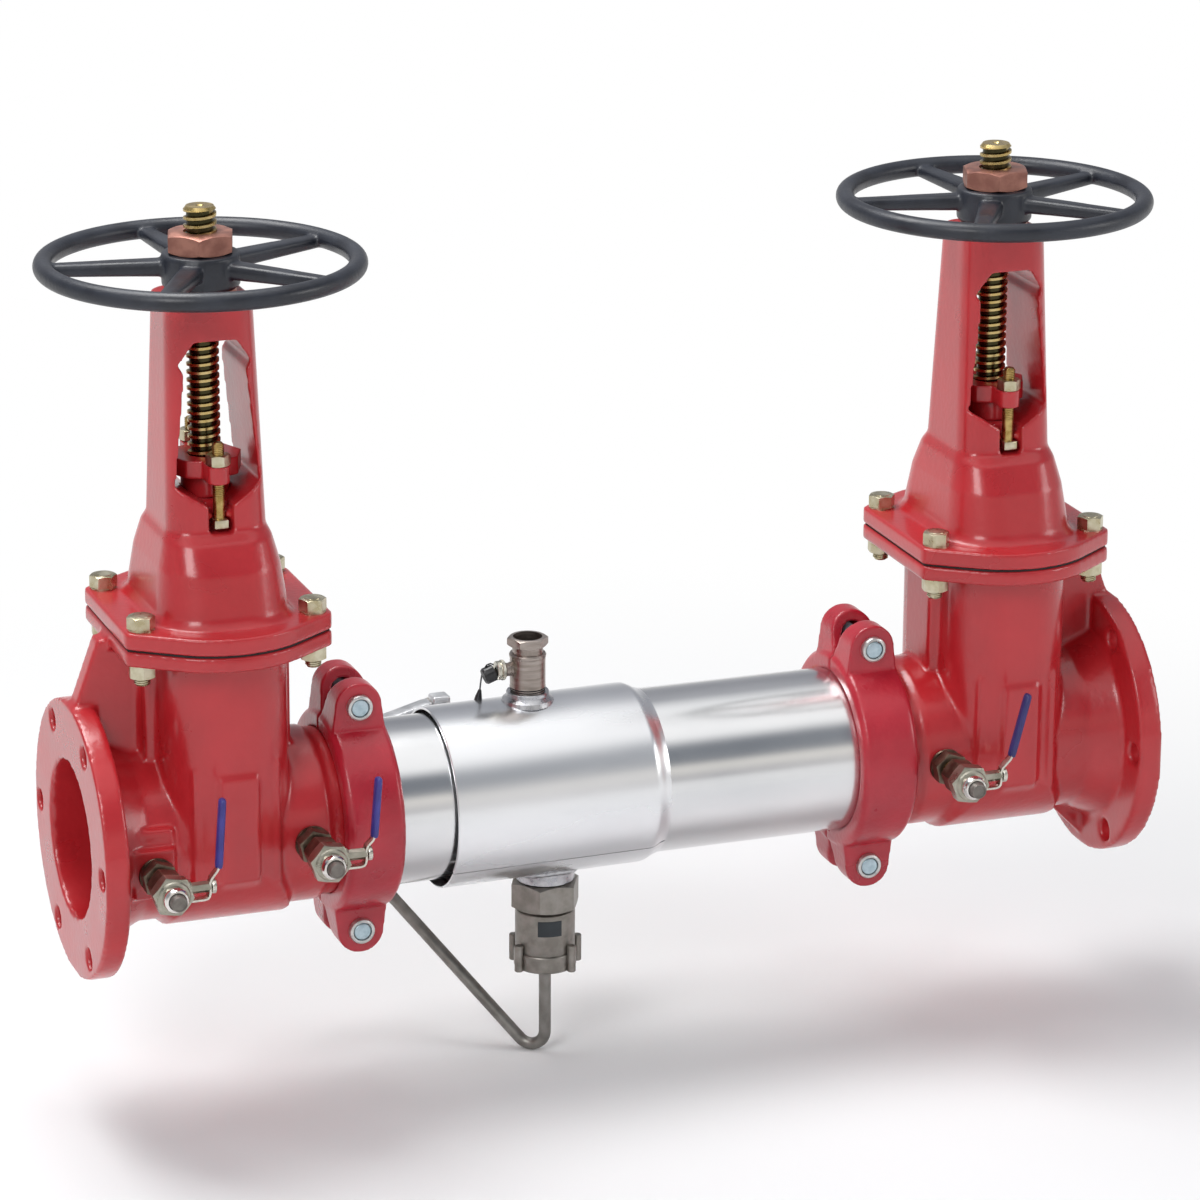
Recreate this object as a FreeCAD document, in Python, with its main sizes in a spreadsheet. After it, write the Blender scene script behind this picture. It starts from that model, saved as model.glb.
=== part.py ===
"""Reduced pressure detector assembly: two rising-stem gate valves, grooved couplings, a stainless
check housing with its relief valve, four test ports and a metered bypass.

Millimetres. The origin is the centre of the inlet flange face. X runs along the pipe in the direction
of flow, Z is up, and the front, with the test cocks, faces -Y. The outlet valve and its coupling are
the inlet ones mirrored, so both are drawn once, at the inlet.
"""
import FreeCAD, Part
import Sketcher
import math
import os
import re

os.makedirs("parts", exist_ok=True)
doc = FreeCAD.newDocument("detector_assembly")

SIZES = {
    # whole assembly
    "overall_length": 1120, "valve_length": 283.4, "valve_centre": 144, "coupling_gap": 3.2, "fit_gap": 0.3,
    # flange and barrel of the valve body
    "flange_od": 38.1, "flange_thickness": 25, "bolt_circle": 241.3, "flange_hole": 22.2, "flange_holes": 6,
    "bore": 158, "hub_od": 30, "hub_length": 32, "barrel_od": 18, "pipe_od": 10.3, "shoulder_at": 240,
    "groove_offset": 15.9, "groove_width": 9.5, "groove_depth": 2.2, "groove_flare": 2,
    # neck, ribs and webs of the valve body
    "neck_half_x": 62, "neck_half_y": 12, "neck_corner": 48, "neck_top": 213, "belly_depth": 7,
    "belly_shoulder": 20, "body_flange": 15, "rib_half_x": 74, "rib_half_y": 32,
    "panel_half_x": 44, "panel_half_y": 6, "panel_low": 50, "panel_high": 90,
    "guide_half_x": 19, "guide_half_y": 4, "guide_low": 42, "guide_high": 80, "panel_slope": 16,
    "web_thickness": 24, "web_foot": 3, "web_head": 30, "gusset_thickness": 12, "gusset_drop": 128,
    "gusset_reach": 40,
    # wedge pocket inside the valve body
    "pocket_half_x": 0.5, "pocket_half_y": 0.5, "pocket_corner": 6, "pocket_depth": 2.5, "pocket_shoulder": 10,
    # bonnet joint and its bolts
    "cover_half_x": 104, "cover_corner_y": 79, "cover_arc_x": 58.6, "cover_arc_y": 112, "cover_nose_y": 131,
    "cover_round": 12, "cover_bolt_x": 86, "cover_bolt_y": 70, "cover_bolt": 16, "cover_bolt_hole": 17.5,
    "bolt_head_flats": 24, "bolt_head_height": 14, "bolt_tail": 8,
    "gasket_thickness": 2, "gasket_inset": 3, "bonnet_flange": 17,
    # bonnet dome, yoke, window and packing box
    "dome_half_x": 66, "dome_half_y": 98, "dome_corner": 50, "dome_height": 86, "dome_flare": 6,
    "dome_flare_height": 8, "dome_shoulder": 50, "dome_shoulder_share": 0.34, "dome_brow": 76,
    "dome_brow_share": 0.72,
    "yoke_foot_x": 50, "yoke_foot_y": 59, "yoke_foot_corner": 26, "yoke_head_x": 44, "yoke_head_y": 44,
    "yoke_head_corner": 24, "yoke_top": 37, "window_top": 22, "window_top_half": 21, "window_shoulder": 9,
    "window_shoulder_half": 36, "window_notch": 111, "window_notch_half": 31, "window_foot": 19,
    "window_foot_half": 42, "window_sill": 25, "slot_half": 12, "slot_floor": 27, "slot_depth": 34,
    "ledge_depth": 50, "ledge_height": 6, "cavity_height": 72, "cavity_top_y": 36,
    "packing_bore": 48, "packing_floor": 62, "packing_height": 42,
    # stem, wedge and yoke nut
    "stem_od": 32, "stem_top": 25, "stem_gap": 0.4, "wedge_radius": 5.5, "wedge_half": 33.5,
    "wedge_dish": 24, "wedge_dish_radius": 62, "wedge_rim": 70, "wedge_edge": 4, "wedge_lug": 3,
    "lug_foot": 8, "lug_head": 40, "lug_half_x": 10, "wedge_head": 104, "head_half_x": 24, "head_half_y": 27,
    "button_radius": 20, "button_low": 84, "button_high": 94, "stem_neck": 12, "stem_collar": 22,
    "collar_height": 8, "yoke_collar": 30, "yoke_sleeve": 20, "yoke_ceiling": 18,
    "cap_radius": 34, "cap_height": 6,
    # handwheel and its nut
    "wheel_radius": 151, "rim_radius": 9.5, "rim_height": 22.4, "wheel_hub_radius": 38, "wheel_hub_top": 34.4,
    "spokes": 5, "spoke_turn": 24, "spoke_height": 17.4, "spoke_root_half": 12, "spoke_root_depth": 8,
    "spoke_tip_half": 8, "spoke_tip_depth": 6, "wheel_nut_flats": 61, "wheel_nut_height": 20,
    # gland follower and its T-head bolts
    "gland_flats": 68, "gland_low": 2, "gland_plate": 18, "gland_ear": 11, "gland_bolt_y": 48,
    "gland_bolt": 12, "tee_low": 4, "tee_height": 9, "tee_half_x": 7.2, "tee_half_y": 9.5,
    "gland_bolt_top": 12, "gland_nut_flats": 21, "gland_nut_height": 11,
    # grooved couplings
    "band_radius": 6.5, "band_half": 30, "band_chamfer": 5, "seal_radius": 12.35, "seal_half": 1.3,
    "key_radius": 0.45, "key_inner": 0.3, "key_outer": 0.4, "split_gap": 0.5, "ear_radius": 24,
    "ear_height": 15, "ear_depth": 42, "ear_foot": 28, "ear_lean": 18, "ear_slot": 26, "ear_pad": 11,
    "coupling_bolt": 16, "coupling_bolt_hole": 18, "coupling_head_radius": 13.5,
    "coupling_head_height": 6, "coupling_nut_flats": 27, "coupling_nut_height": 13,
    "coupling_bolt_tail": 5,
    # stainless housing and its sleeve
    "housing_wall": 3.5, "sleeve_from": 85.4, "sleeve_to": 228, "sleeve_radius": 8.35, "sleeve_wall": 3,
    "sleeve_bevel": 12, "sleeve_seal": 8, "seal_inset": 14, "port_from": 53, "port_to": 120, "port_half": 50,
    "top_port_x": 104, "boss_radius": 27, "boss_top": 8.5, "relief_x": 123, "relief_boss_radius": 30,
    "relief_boss_depth": 10.5,
    # check modules inside the housing
    "check_one_at": 16, "check_two_at": 193.4, "seat_length": 16, "seat_bore": 54, "poppet_radius": 1,
    "poppet_thickness": 11, "poppet_stem": 8, "cage_radius": 4.65, "cage_leg": 6, "cage_legs": 4,
    "cage_hub": 18, "cage_length": 84, "cage_plate": 8, "check_wire": 3,
    "check_coil": 26, "check_turns": 4,
    # relief valve under the housing
    "union_flats": 64, "union_depth": 45, "relief_neck": 23, "relief_radius": 32.5, "relief_depth": 41,
    "relief_shoulder": 4, "relief_bore": 17, "relief_chamber": 26, "relief_seat": 16, "lug_ring": 3.5,
    "lug_ring_top": 3, "lug_ring_depth": 17, "lug_radius": 5, "lugs": 4, "lug_turn": 25, "lug_spread": 9, "relief_disc": 21,
    "relief_stem": 4, "relief_wire": 1.6, "relief_coil": 12, "relief_turns": 4,
    "tube_od": 12.5, "tube_bore": 9.5, "tube_foot": 100.7, "tube_seat": 10, "tube_bend": 16, "tube_sweep": 24,
    "tube_turn_x": 330, "tube_turn_y": 132.6, "tube_turn_z": -102, "sensing_x": 228, "sensing_out": 134,
    "sensing_seat": 6,
    # top test port
    "top_radius": 20, "top_shoulder": 32, "top_neck": 17, "top_flats": 40, "top_hex_from": 13,
    "top_mouth": 16, "top_bore": 15, "side_port_z": 21, "side_port": 7, "side_ring": 10,
    "side_port_end": 34, "dust_cap_radius": 9, "dust_cap_length": 13, "tether": 1.4, "tether_x": 19,
    # side test cocks
    "tap_x": 60, "tap_z": -10, "tap_face": 98, "inner_tap_x": 221, "inner_tap_z": 0, "tap_bore": 21, "nipple_flats": 32,
    "nipple_length": 20, "nipple_thread": 7, "cock_flats": 34, "cock_body": 38, "cock_ring": 15,
    "cock_ring_length": 9, "cock_plug": 9.5, "cock_plug_length": 12, "cock_chamber": 13, "waterway": 4.5,
    "cock_stem": 4.5, "lever_reach": 50, "lever_height": 86, "lever_lean": 5, "lever_lean_last": 17,
    "lever_strap": 3, "lever_half_width": 4.5, "grip_from": 24, "grip_wall": 2.5,
    # metered bypass behind the housing
    "bypass_y": 150, "bypass_z": -15, "bypass_od": 27, "bypass_bore": 21, "bypass_bend": 36, "pipe_seat": 5,
    "ball_valve_x": 350, "ball_valve_radius": 22, "ball_valve_half": 36, "ball_radius": 15,
    "bypass_lever": 90, "lever_low": 29, "lever_rise": 15, "bypass_strap": 4, "bypass_lever_width": 16,
    "lever_heel": 11, "lever_flat": 15, "lever_tip": 17, "lever_block": 8,
    "meter_x": 50, "meter_radius": 38, "meter_half": 62, "register_radius": 30, "register_top": 30,
    "backflow_x": 68, "backflow_half": 48, "backflow_radius": 26,
}

# Levels and reaches that follow from the sizes.
LEVELS = {
    "housing_start": "valve_length + coupling_gap",
    "dome_crown": "neck_top + gasket_thickness + bonnet_flange + dome_height",
    "wheel_foot": "yoke_crown + cap_height + 2 * fit_gap",
    "pipe_width": "bore + pipe_od",
    "barrel_width": "bore + barrel_od",
    "hub_width": "barrel_width + hub_od",
    "flange_width": "bolt_circle + flange_od",
    "wedge_reach": "bore / 2 + wedge_radius",
    "pocket_x": "wedge_half + pocket_half_x",
    "pocket_y": "wedge_reach + wedge_lug + pocket_half_y",
    "pocket_foot": "wedge_reach + pocket_depth",
    "neck_y": "pocket_y + neck_half_y",
    "belly_foot": "pocket_foot + belly_depth",
    "panel_y": "neck_y - panel_half_y",
    "guide_y": "neck_y + guide_half_y",
    "sill": "dome_crown + window_sill",
    "window_low": "sill + window_foot",
    "notch": "window_low + window_notch",
    "shoulder": "notch + window_shoulder",
    "window_high": "shoulder + window_top",
    "yoke_crown": "window_high + yoke_top",
    "slot_low": "sill - slot_floor",
    "tee_foot": "slot_low + tee_low",
    "packing_foot": "window_low - packing_floor",
    "gland_foot": "window_low + gland_low",
    "gland_bolt_end": "gland_foot + gland_plate + gland_nut_height + gland_bolt_top",
    "hub_crown": "wheel_foot + wheel_hub_top",
    "rim_level": "wheel_foot + rim_height",
    "spoke_level": "wheel_foot + spoke_height",
    "stem_end": "hub_crown + wheel_nut_height + stem_top",
    "seal_reach": "pipe_width / 2 + seal_radius",
    "band_reach": "seal_reach + band_radius",
    "key_reach": "pipe_width / 2 - groove_depth + key_radius",
    "key_near": "coupling_gap / 2 + groove_offset + key_inner",
    "key_far": "coupling_gap / 2 + groove_offset + groove_width - key_outer",
    "seal_side": "key_near - seal_half",
    "ear_level": "band_reach + ear_height",
    "sleeve_start": "housing_start + sleeve_from",
    "sleeve_end": "sleeve_start + sleeve_to",
    "sleeve_reach": "pipe_width / 2 + sleeve_radius",
    "port_start": "sleeve_start + port_from",
    "port_end": "port_start + port_to",
    "top_port_at": "sleeve_start + top_port_x",
    "boss_crown": "sleeve_reach + boss_top",
    "relief_at": "sleeve_start + relief_x",
    "relief_boss_foot": "sleeve_reach + relief_boss_depth",
    "first_check_at": "housing_start + groove_offset + groove_width + groove_flare + check_one_at",
    "second_check_at": "overall_length - housing_start - check_two_at",
    "cage_reach": "pipe_width / 2 - housing_wall - cage_radius",
    "poppet_reach": "cage_reach - 2 * cage_leg - poppet_radius",
    "union_foot": "relief_boss_foot + union_depth",
    "relief_step": "union_foot + relief_shoulder",
    "relief_seat_at": "relief_step + relief_seat",
    "relief_foot": "relief_step + relief_depth",
    "lug_high": "relief_foot - lug_ring_top",
    "lug_low": "relief_foot + lug_ring_depth",
    "lug_reach": "relief_radius + lug_ring",
    "tube_low": "lug_low + tube_foot",
    "top_step": "boss_crown + top_shoulder",
    "hex_start": "top_step + top_hex_from",
    "mouth": "hex_start + top_mouth",
    "side_port_level": "boss_crown + side_port_z",
    "side_end": "top_port_at - side_port_end",
    "tether_at": "side_end - tether_x",
    "meter_at": "overall_length / 2 - meter_x",
    "backflow_at": "overall_length / 2 + backflow_x",
}

sheet = doc.addObject("Spreadsheet::Sheet", "Sizes")
for row, (alias, size) in enumerate(SIZES.items(), start=1):
    sheet.set(f"A{row}", alias)
    sheet.set(f"B{row}", str(size))
    sheet.setAlias(f"B{row}", alias)
doc.recompute()

WORD = re.compile(r"\b[a-z][a-z_]*\b")
TURNS = {"z": FreeCAD.Rotation(), "x": FreeCAD.Rotation(FreeCAD.Vector(0, 1, 0), 90),
         "-x": FreeCAD.Rotation(FreeCAD.Vector(0, 1, 0), -90), "-z": FreeCAD.Rotation(FreeCAD.Vector(1, 0, 0), 180),
         "y": FreeCAD.Rotation(FreeCAD.Vector(1, 0, 0), -90), "-y": FreeCAD.Rotation(FreeCAD.Vector(1, 0, 0), 90)}
PLANES = {"z": "XY_Plane", "x": "YZ_Plane", "-y": "XZ_Plane"}
sub_parts = []


def formula(text):
    """Write out each level that a formula names, and the sheet's name before each size."""
    def spelled(word):
        name = word.group()
        if name in LEVELS:
            return "(" + formula(LEVELS[name]) + ")"
        return "Sizes." + name if name in SIZES else name
    return WORD.sub(spelled, str(text))


def value(text):
    """The number that a formula gives with the sheet's present sizes."""
    return float(sheet.evalExpression(formula(text)))


def bind(thing, prop, text):
    thing.setExpression(prop, formula(text))


def place(thing, at, axis="z"):
    """Put a thing at a point given by three formulas, its own Z along the named axis."""
    thing.Placement = FreeCAD.Placement(FreeCAD.Vector(*map(value, at)), TURNS[axis])
    for letter, text in zip("xyz", at):
        bind(thing, f"Placement.Base.{letter}", text)
    return thing


def cylinder(name, radius, height, at=(0, 0, 0), axis="z"):
    solid = doc.addObject("Part::Cylinder", name)
    bind(solid, "Radius", radius)
    bind(solid, "Height", height)
    return place(solid, at, axis)


def block(name, low, high):
    """A block between two corners, each given by three formulas."""
    solid = doc.addObject("Part::Box", name)
    for prop, start, end in zip(("Length", "Width", "Height"), low, high):
        bind(solid, prop, f"({end}) - ({start})")
    return place(solid, low)


def bar(name, flats, height, at=(0, 0, 0), axis="z", sides=6):
    """A regular bar of a given width across its flats."""
    solid = doc.addObject("Part::Prism", name)
    solid.Polygon = sides
    bind(solid, "Circumradius", f"({flats}) / 2 / cos({180 / sides})")
    bind(solid, "Height", height)
    return place(solid, at, axis)


def ball(name, radius, at):
    solid = doc.addObject("Part::Sphere", name)
    bind(solid, "Radius", radius)
    return place(solid, at, "x")


def fuse(name, *shapes):
    joined = doc.addObject("Part::MultiFuse", name)
    joined.Shapes = list(shapes)
    joined.Refine = True
    return joined


def cut(name, base, *tools):
    carved = doc.addObject("Part::Cut", name)
    carved.Base = base
    carved.Tool = tools[0] if len(tools) == 1 else fuse(name + "_voids", *tools)
    carved.Refine = True
    return carved


def common(name, *shapes):
    shared = doc.addObject("Part::MultiCommon", name)
    shared.Shapes = list(shapes)
    return shared


def group(name, *solids):
    """Several separate solids that share one node."""
    together = doc.addObject("Part::Compound", name)
    together.Links = list(solids)
    return together


def mirror(name, source, about="overall_length / 2", axis="x"):
    image = doc.addObject("Part::Mirroring", name)
    image.Source = source
    image.Normal = FreeCAD.Vector(axis == "x", axis == "y", axis == "z")
    bind(image, f"Base.{axis}", about)
    return image


def sub_part(label, thing):
    thing.Label = label
    sub_parts.append(thing)
    return thing


def draw(sketch, corners, arcs):
    """Draw a closed outline, anticlockwise, through corners given by formulas. arcs maps an edge's number
    to the radius of an arc in its place, which bulges outwards."""
    points = [FreeCAD.Vector(value(x), value(y), 0) for x, y in corners]
    for index, start in enumerate(points):
        end = points[(index + 1) % len(points)]
        if index in arcs:
            chord = end - start
            outward = FreeCAD.Vector(chord.y, -chord.x, 0).normalize()
            radius = value(arcs[index])
            rise = radius - math.sqrt(radius ** 2 - (chord.Length / 2) ** 2)
            sketch.addGeometry(Part.ArcOfCircle(start, (start + end) * 0.5 + outward * rise, end))
        else:
            sketch.addGeometry(Part.LineSegment(start, end))
    for index in range(len(points)):
        sketch.addConstraint(Sketcher.Constraint("Coincident", (index - 1) % len(points), 2, index, 1))
    for index, (point, corner) in enumerate(zip(points, corners)):
        for kind, amount, text in (("DistanceX", point.x, corner[0]), ("DistanceY", point.y, corner[1])):
            held = sketch.addConstraint(Sketcher.Constraint(kind, -1, 1, index, 1, amount))
            bind(sketch, f"Constraints[{held}]", text)
        if index in arcs:
            held = sketch.addConstraint(Sketcher.Constraint("Radius", index, value(arcs[index])))
            bind(sketch, f"Constraints[{held}]", arcs[index])


def sketch_on(body, name, axis, corners, arcs=None, lift="0"):
    """A sketch on the body's origin plane across the named axis, lifted along that axis."""
    sketch = body.newObject("Sketcher::SketchObject", name)
    plane = next(item for item in body.Origin.OriginFeatures if item.Role == PLANES[axis])
    sketch.AttachmentSupport = [(plane, "")]
    sketch.MapMode = "FlatFace"
    bind(sketch, "AttachmentOffset.Base.z", lift)
    draw(sketch, corners, arcs or {})
    return sketch


def padded(name, corners, low, high, axis="z", arcs=None, at=(0, 0, 0)):
    """A body padded from an outline, between two distances along the named axis."""
    body = doc.addObject("PartDesign::Body", name)
    sketch = sketch_on(body, name + "_outline", axis, corners, arcs, low)
    pad = body.newObject("PartDesign::Pad", name + "_pad")
    pad.Profile = sketch
    bind(pad, "Length", f"({high}) - ({low})")
    return place(body, at)


def turned(name, profile, at=(0, 0, 0), axis="z", arcs=None):
    """A body turned about the named axis from a profile of (radius, distance along the axis)."""
    body = doc.addObject("PartDesign::Body", name)
    sketch = sketch_on(body, name + "_profile", "-y", profile, arcs)
    turn = body.newObject("PartDesign::Revolution", name + "_turn")
    turn.Profile = sketch
    turn.ReferenceAxis = (sketch, ["V_Axis"])
    turn.Angle = 360
    return place(body, at, axis)


def lofted(name, sections, axis="z", at=(0, 0, 0)):
    """A body lofted through sections of (distance, corners, arcs)."""
    body = doc.addObject("PartDesign::Body", name)
    sketches = [sketch_on(body, f"{name}_section", axis, corners, arcs, lift) for lift, corners, arcs in sections]
    loft = body.newObject("PartDesign::AdditiveLoft", name + "_loft")
    loft.Profile = sketches[0]
    loft.Sections = sketches[1:]
    loft.Ruled = True
    return place(body, at)


def rounded(half_x, half_y, corner):
    """Corners and arcs of a rectangle with rounded corners, centred on the origin."""
    flat_x, flat_y = f"({half_x} - {corner})", f"({half_y} - {corner})"
    corners = [(half_x, f"-{flat_y}"), (half_x, flat_y), (flat_x, half_y), (f"-{flat_x}", half_y),
               (f"-{half_x}", flat_y), (f"-{half_x}", f"-{flat_y}"), (f"-{flat_x}", f"-{half_y}"),
               (flat_x, f"-{half_y}")]
    return corners, {1: corner, 3: corner, 5: corner, 7: corner}


def ring(name, inner, outer, low, high, at=(0, 0, 0), axis="z"):
    return turned(name, [(inner, low), (outer, low), (outer, high), (inner, high)], at, axis)


def coil(name, radius, wire, length, turns, at, axis):
    """A helical spring whose first end lies at the given point."""
    helix = doc.addObject("Part::Helix", name + "_line")
    bind(helix, "Radius", radius)
    bind(helix, "Height", length)
    bind(helix, "Pitch", f"({length}) / ({turns})")
    section = doc.addObject("Part::Circle", name + "_section")
    bind(section, "Radius", wire)
    section.Placement = FreeCAD.Placement(FreeCAD.Vector(value(radius), 0, 0), TURNS["-y"])
    bind(section, "Placement.Base.x", radius)
    doc.recompute()
    sweep = doc.addObject("Part::Sweep", name)
    sweep.Sections = [section]
    sweep.Spine = (helix, [f"Edge{n + 1}" for n in range(len(helix.Shape.Edges))])
    sweep.Solid = True
    sweep.Frenet = True
    return place(sweep, at, axis)


def bent_rod(name, radius, points, bends):
    """A round rod along straight runs that are joined by tangent arcs, one of each radius."""
    edges, last = [], points[0]
    for before, corner, after, bend in zip(points, points[1:], points[2:], bends):
        back, ahead = (before - corner).normalize(), (after - corner).normalize()
        reach = bend / math.tan(back.getAngle(ahead) / 2)
        centre_way = (back + ahead).normalize()
        middle = corner + centre_way * (bend / math.sin(back.getAngle(ahead) / 2) - bend)
        edges += [Part.makeLine(last, corner + back * reach),
                  Part.Arc(corner + back * reach, middle, corner + ahead * reach).toShape()]
        last = corner + ahead * reach
    edges.append(Part.makeLine(last, points[-1]))
    start = Part.Wire([Part.makeCircle(radius, points[0], points[1] - points[0])])
    rod = doc.addObject("Part::Feature", name)
    rod.Shape = Part.Wire(edges).makePipeShell([start], True, True)
    return rod


def hex_nut(name, flats, hole, height, at, axis="z"):
    return cut(name, bar(name + "_bar", flats, height, at, axis),
               cylinder(name + "_hole", hole, height, at, axis))


HOUSING_FROM = "(valve_length + coupling_gap)"
HOUSING_TO = f"(overall_length - {HOUSING_FROM})"
COUPLING_AT = "(valve_length + coupling_gap / 2)"
STEM = ("valve_centre", 0, 0)
BONNET_AT = "(neck_top + gasket_thickness)"
COVER_TOP = f"({BONNET_AT} + bonnet_flange)"
DOME_TOP = f"({COVER_TOP} + dome_height)"
GROOVE_RADIUS = "(pipe_width / 2 - groove_depth)"
FLANGE_UNDER = "(neck_top - body_flange)"


def cover_outline(inset="0"):
    """The bonnet joint: flat ends, slanted corners and a bulging front and back."""
    end, corner, arc_x = f"(cover_half_x - {inset})", f"(cover_corner_y - {inset})", "cover_arc_x"
    arc_y, rise = f"(cover_arc_y - {inset})", "(cover_nose_y - cover_arc_y)"
    corners = [(end, f"-{corner}"), (end, corner), (arc_x, arc_y), (f"-{arc_x}", arc_y),
               (f"-{end}", corner), (f"-{end}", f"-{corner}"), (f"-{arc_x}", f"-{arc_y}"), (arc_x, f"-{arc_y}")]
    nose = f"(({arc_x}) ^ 2 + {rise} ^ 2) / (2 * {rise})"
    return corners, {2: nose, 6: nose}


def cover_plate(name, low, high, inset="0"):
    """A plate of the bonnet joint's outline, its four end corners rounded."""
    corners, arcs = cover_outline(inset)
    plate = padded(name, corners, low, high, "z", arcs, STEM)
    doc.recompute()
    pad = plate.Tip
    end = value("cover_half_x") - value(inset)
    upright = [f"Edge{n}" for n, edge in enumerate(pad.Shape.Edges, start=1)
               if len(edge.Vertexes) == 2 and abs(edge.tangentAt(edge.FirstParameter).z) > 0.99
               and abs(abs(edge.Vertexes[0].X) - end) < 0.01]
    rounding = plate.newObject("PartDesign::Fillet", name + "_rounding")
    rounding.Base = (pad, upright)
    bind(rounding, "Radius", "cover_round")
    return plate


def cover_holes(name, low, high):
    """The four bolt holes of the bonnet joint."""
    return [cylinder(f"{name}_{n}", "cover_bolt_hole / 2", f"({high}) - ({low})",
                     (f"valve_centre + ({sx}) * cover_bolt_x", f"({sy}) * cover_bolt_y", low))
            for n, (sx, sy) in enumerate(((1, 1), (-1, 1), (-1, -1), (1, -1)))]


def front_panel(name, half_x, half_y, low, high):
    """A raised panel on the front and back of the neck, over the wedge's guides, sloped in at its foot."""
    corners = [(half_y, f"-({low} - panel_slope)"), (half_y, high), (f"-{half_y}", high),
               (f"-{half_y}", f"-({low} - panel_slope)"), (f"-({half_y} - panel_slope)", f"-{low}"),
               (f"{half_y} - panel_slope", f"-{low}")]
    return padded(name, corners, f"-{half_x}", half_x, "x", None, STEM)


def belly(name, half_y, shoulder, depth, high, half_x):
    """A column whose lower end is round, seen along the pipe."""
    rise = f"({depth} - {shoulder})"
    corners = [(half_y, f"-{shoulder}"), (half_y, high), (f"-{half_y}", high), (f"-{half_y}", f"-{shoulder}")]
    return padded(name, corners, f"-{half_x}", half_x, "x",
                  {3: f"({half_y} ^ 2 + {rise} ^ 2) / (2 * {rise})"}, STEM)


def column(name, half_x, half_y, corner, shoulder, depth, high):
    """An upright column of rounded plan with a round lower end."""
    corners, arcs = rounded(half_x, half_y, corner)
    return common(name, padded(name + "_plan", corners, f"-{depth}", high, "z", arcs, STEM),
                  belly(name + "_side", half_y, shoulder, depth, high, half_x))


def sensing_rod(name, radius, end):
    """From the relief valve down, round a tight bend, up behind the coupling and in to the inlet valve's
    barrel, square to it at its lower back; end is the last point's distance from the pipe's centre line."""
    inward = FreeCAD.Vector(0, 1, -1).normalize()
    port = FreeCAD.Vector(value("sensing_x"), 0, 0)
    return bent_rod(name, radius, [
        FreeCAD.Vector(value("relief_at"), 0, value("-lug_low + tube_seat")),
        FreeCAD.Vector(value("relief_at"), 0, value("-tube_low")),
        FreeCAD.Vector(value("tube_turn_x"), value("tube_turn_y"), value("tube_turn_z")),
        port + inward * value("sensing_out"), port + inward * value(end)],
        [value("tube_bend"), value("tube_sweep"), value("tube_sweep")])


# Valve body: a flanged barrel with a tall neck for the wedge, cast in one piece.
barrel = turned("barrel", [
    (0, 0), ("flange_width / 2", 0), ("flange_width / 2", "flange_thickness"), ("hub_width / 2", "flange_thickness"),
    ("barrel_width / 2", "flange_thickness + hub_length"), ("barrel_width / 2", "shoulder_at"),
    ("pipe_width / 2", "shoulder_at + barrel_width / 2 - pipe_width / 2"),
    ("pipe_width / 2", "valve_length - groove_offset - groove_width"),
    (GROOVE_RADIUS, "valve_length - groove_offset - groove_width"),
    (GROOVE_RADIUS, "valve_length - groove_offset"), ("pipe_width / 2", "valve_length - groove_offset"),
    ("pipe_width / 2", "valve_length"), (0, "valve_length")], axis="x")
neck = column("neck", "neck_half_x", "neck_y", "neck_corner", "belly_shoulder", "belly_foot", "neck_top")
side_ribs = block("side_ribs", ("valve_centre - rib_half_x", "-rib_half_y", 0),
                  ("valve_centre + rib_half_x", "rib_half_y", FLANGE_UNDER))
body_top = cover_plate("body_top", FLANGE_UNDER, "neck_top")
flange_web = padded("flange_web", [
    ("flange_thickness / 2", "barrel_width / 4"), ("valve_centre - pocket_x - pocket_corner", "barrel_width / 4"),
    ("valve_centre - pocket_x - pocket_corner", f"{FLANGE_UNDER} + body_flange / 2"),
    ("web_head", f"{FLANGE_UNDER} + body_flange / 2"), ("web_foot", "flange_width / 2 - flange_thickness / 3"),
    ("flange_thickness / 2", "bolt_circle / 2 - flange_hole")], "-web_thickness / 2", "web_thickness / 2", "-y")
foot_gusset = padded("foot_gusset", [
    ("flange_thickness / 2", "-gusset_drop"), ("flange_thickness", "-gusset_drop"),
    ("flange_thickness + gusset_reach", "-barrel_width / 2"), ("flange_thickness + gusset_reach", "-bore / 2 - 4"),
    ("flange_thickness / 2", "-bore / 2 - 4")], "-gusset_thickness / 2", "gusset_thickness / 2", "-y")
casting = fuse("casting", barrel, neck, side_ribs, body_top, flange_web, foot_gusset,
               front_panel("guide_panel", "panel_half_x", "panel_y", "panel_low", "panel_high"),
               front_panel("guide_rib", "guide_half_x", "guide_y", "guide_low", "guide_high"))
pocket = column("pocket", "pocket_x", "pocket_y", "pocket_corner", "pocket_shoulder",
                "pocket_foot", "neck_top + 1")
flange_holes = [cylinder(f"flange_hole_{n}", "flange_hole / 2", "flange_thickness + 2", (
    -1, f"bolt_circle / 2 * cos({n} * 360 / flange_holes)", f"bolt_circle / 2 * sin({n} * 360 / flange_holes)"), "x")
    for n in range(int(value("flange_holes")))]
open_casting = cut(
    "open_casting", casting, cylinder("waterway_bore", "bore / 2", "valve_length + 2", (-1, 0, 0), "x"), pocket,
    *cover_holes("body_hole", f"{FLANGE_UNDER} - 1", "neck_top + 1"), *flange_holes,
    cylinder("inner_tap", "tap_bore / 2", "barrel_width", ("inner_tap_x", 0, "inner_tap_z"), "-y"),
    cylinder("bypass_tap", "bypass_od / 2", "barrel_width", ("inner_tap_x", 0, "bypass_z"), "y"))
tap_pad = fuse("tap_pad", block("tap_pad_front", ("tap_x - 21", "-tap_face", "tap_z - 26"),
                                ("tap_x + 21", "-bore / 2", "tap_z + 24")),
               block("tap_pad_step", ("tap_x - 21", "-tap_face + 9", "tap_z - 26"),
                     ("tap_x + 21", "-bore / 2 + 20", "tap_z + 42")))
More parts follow.
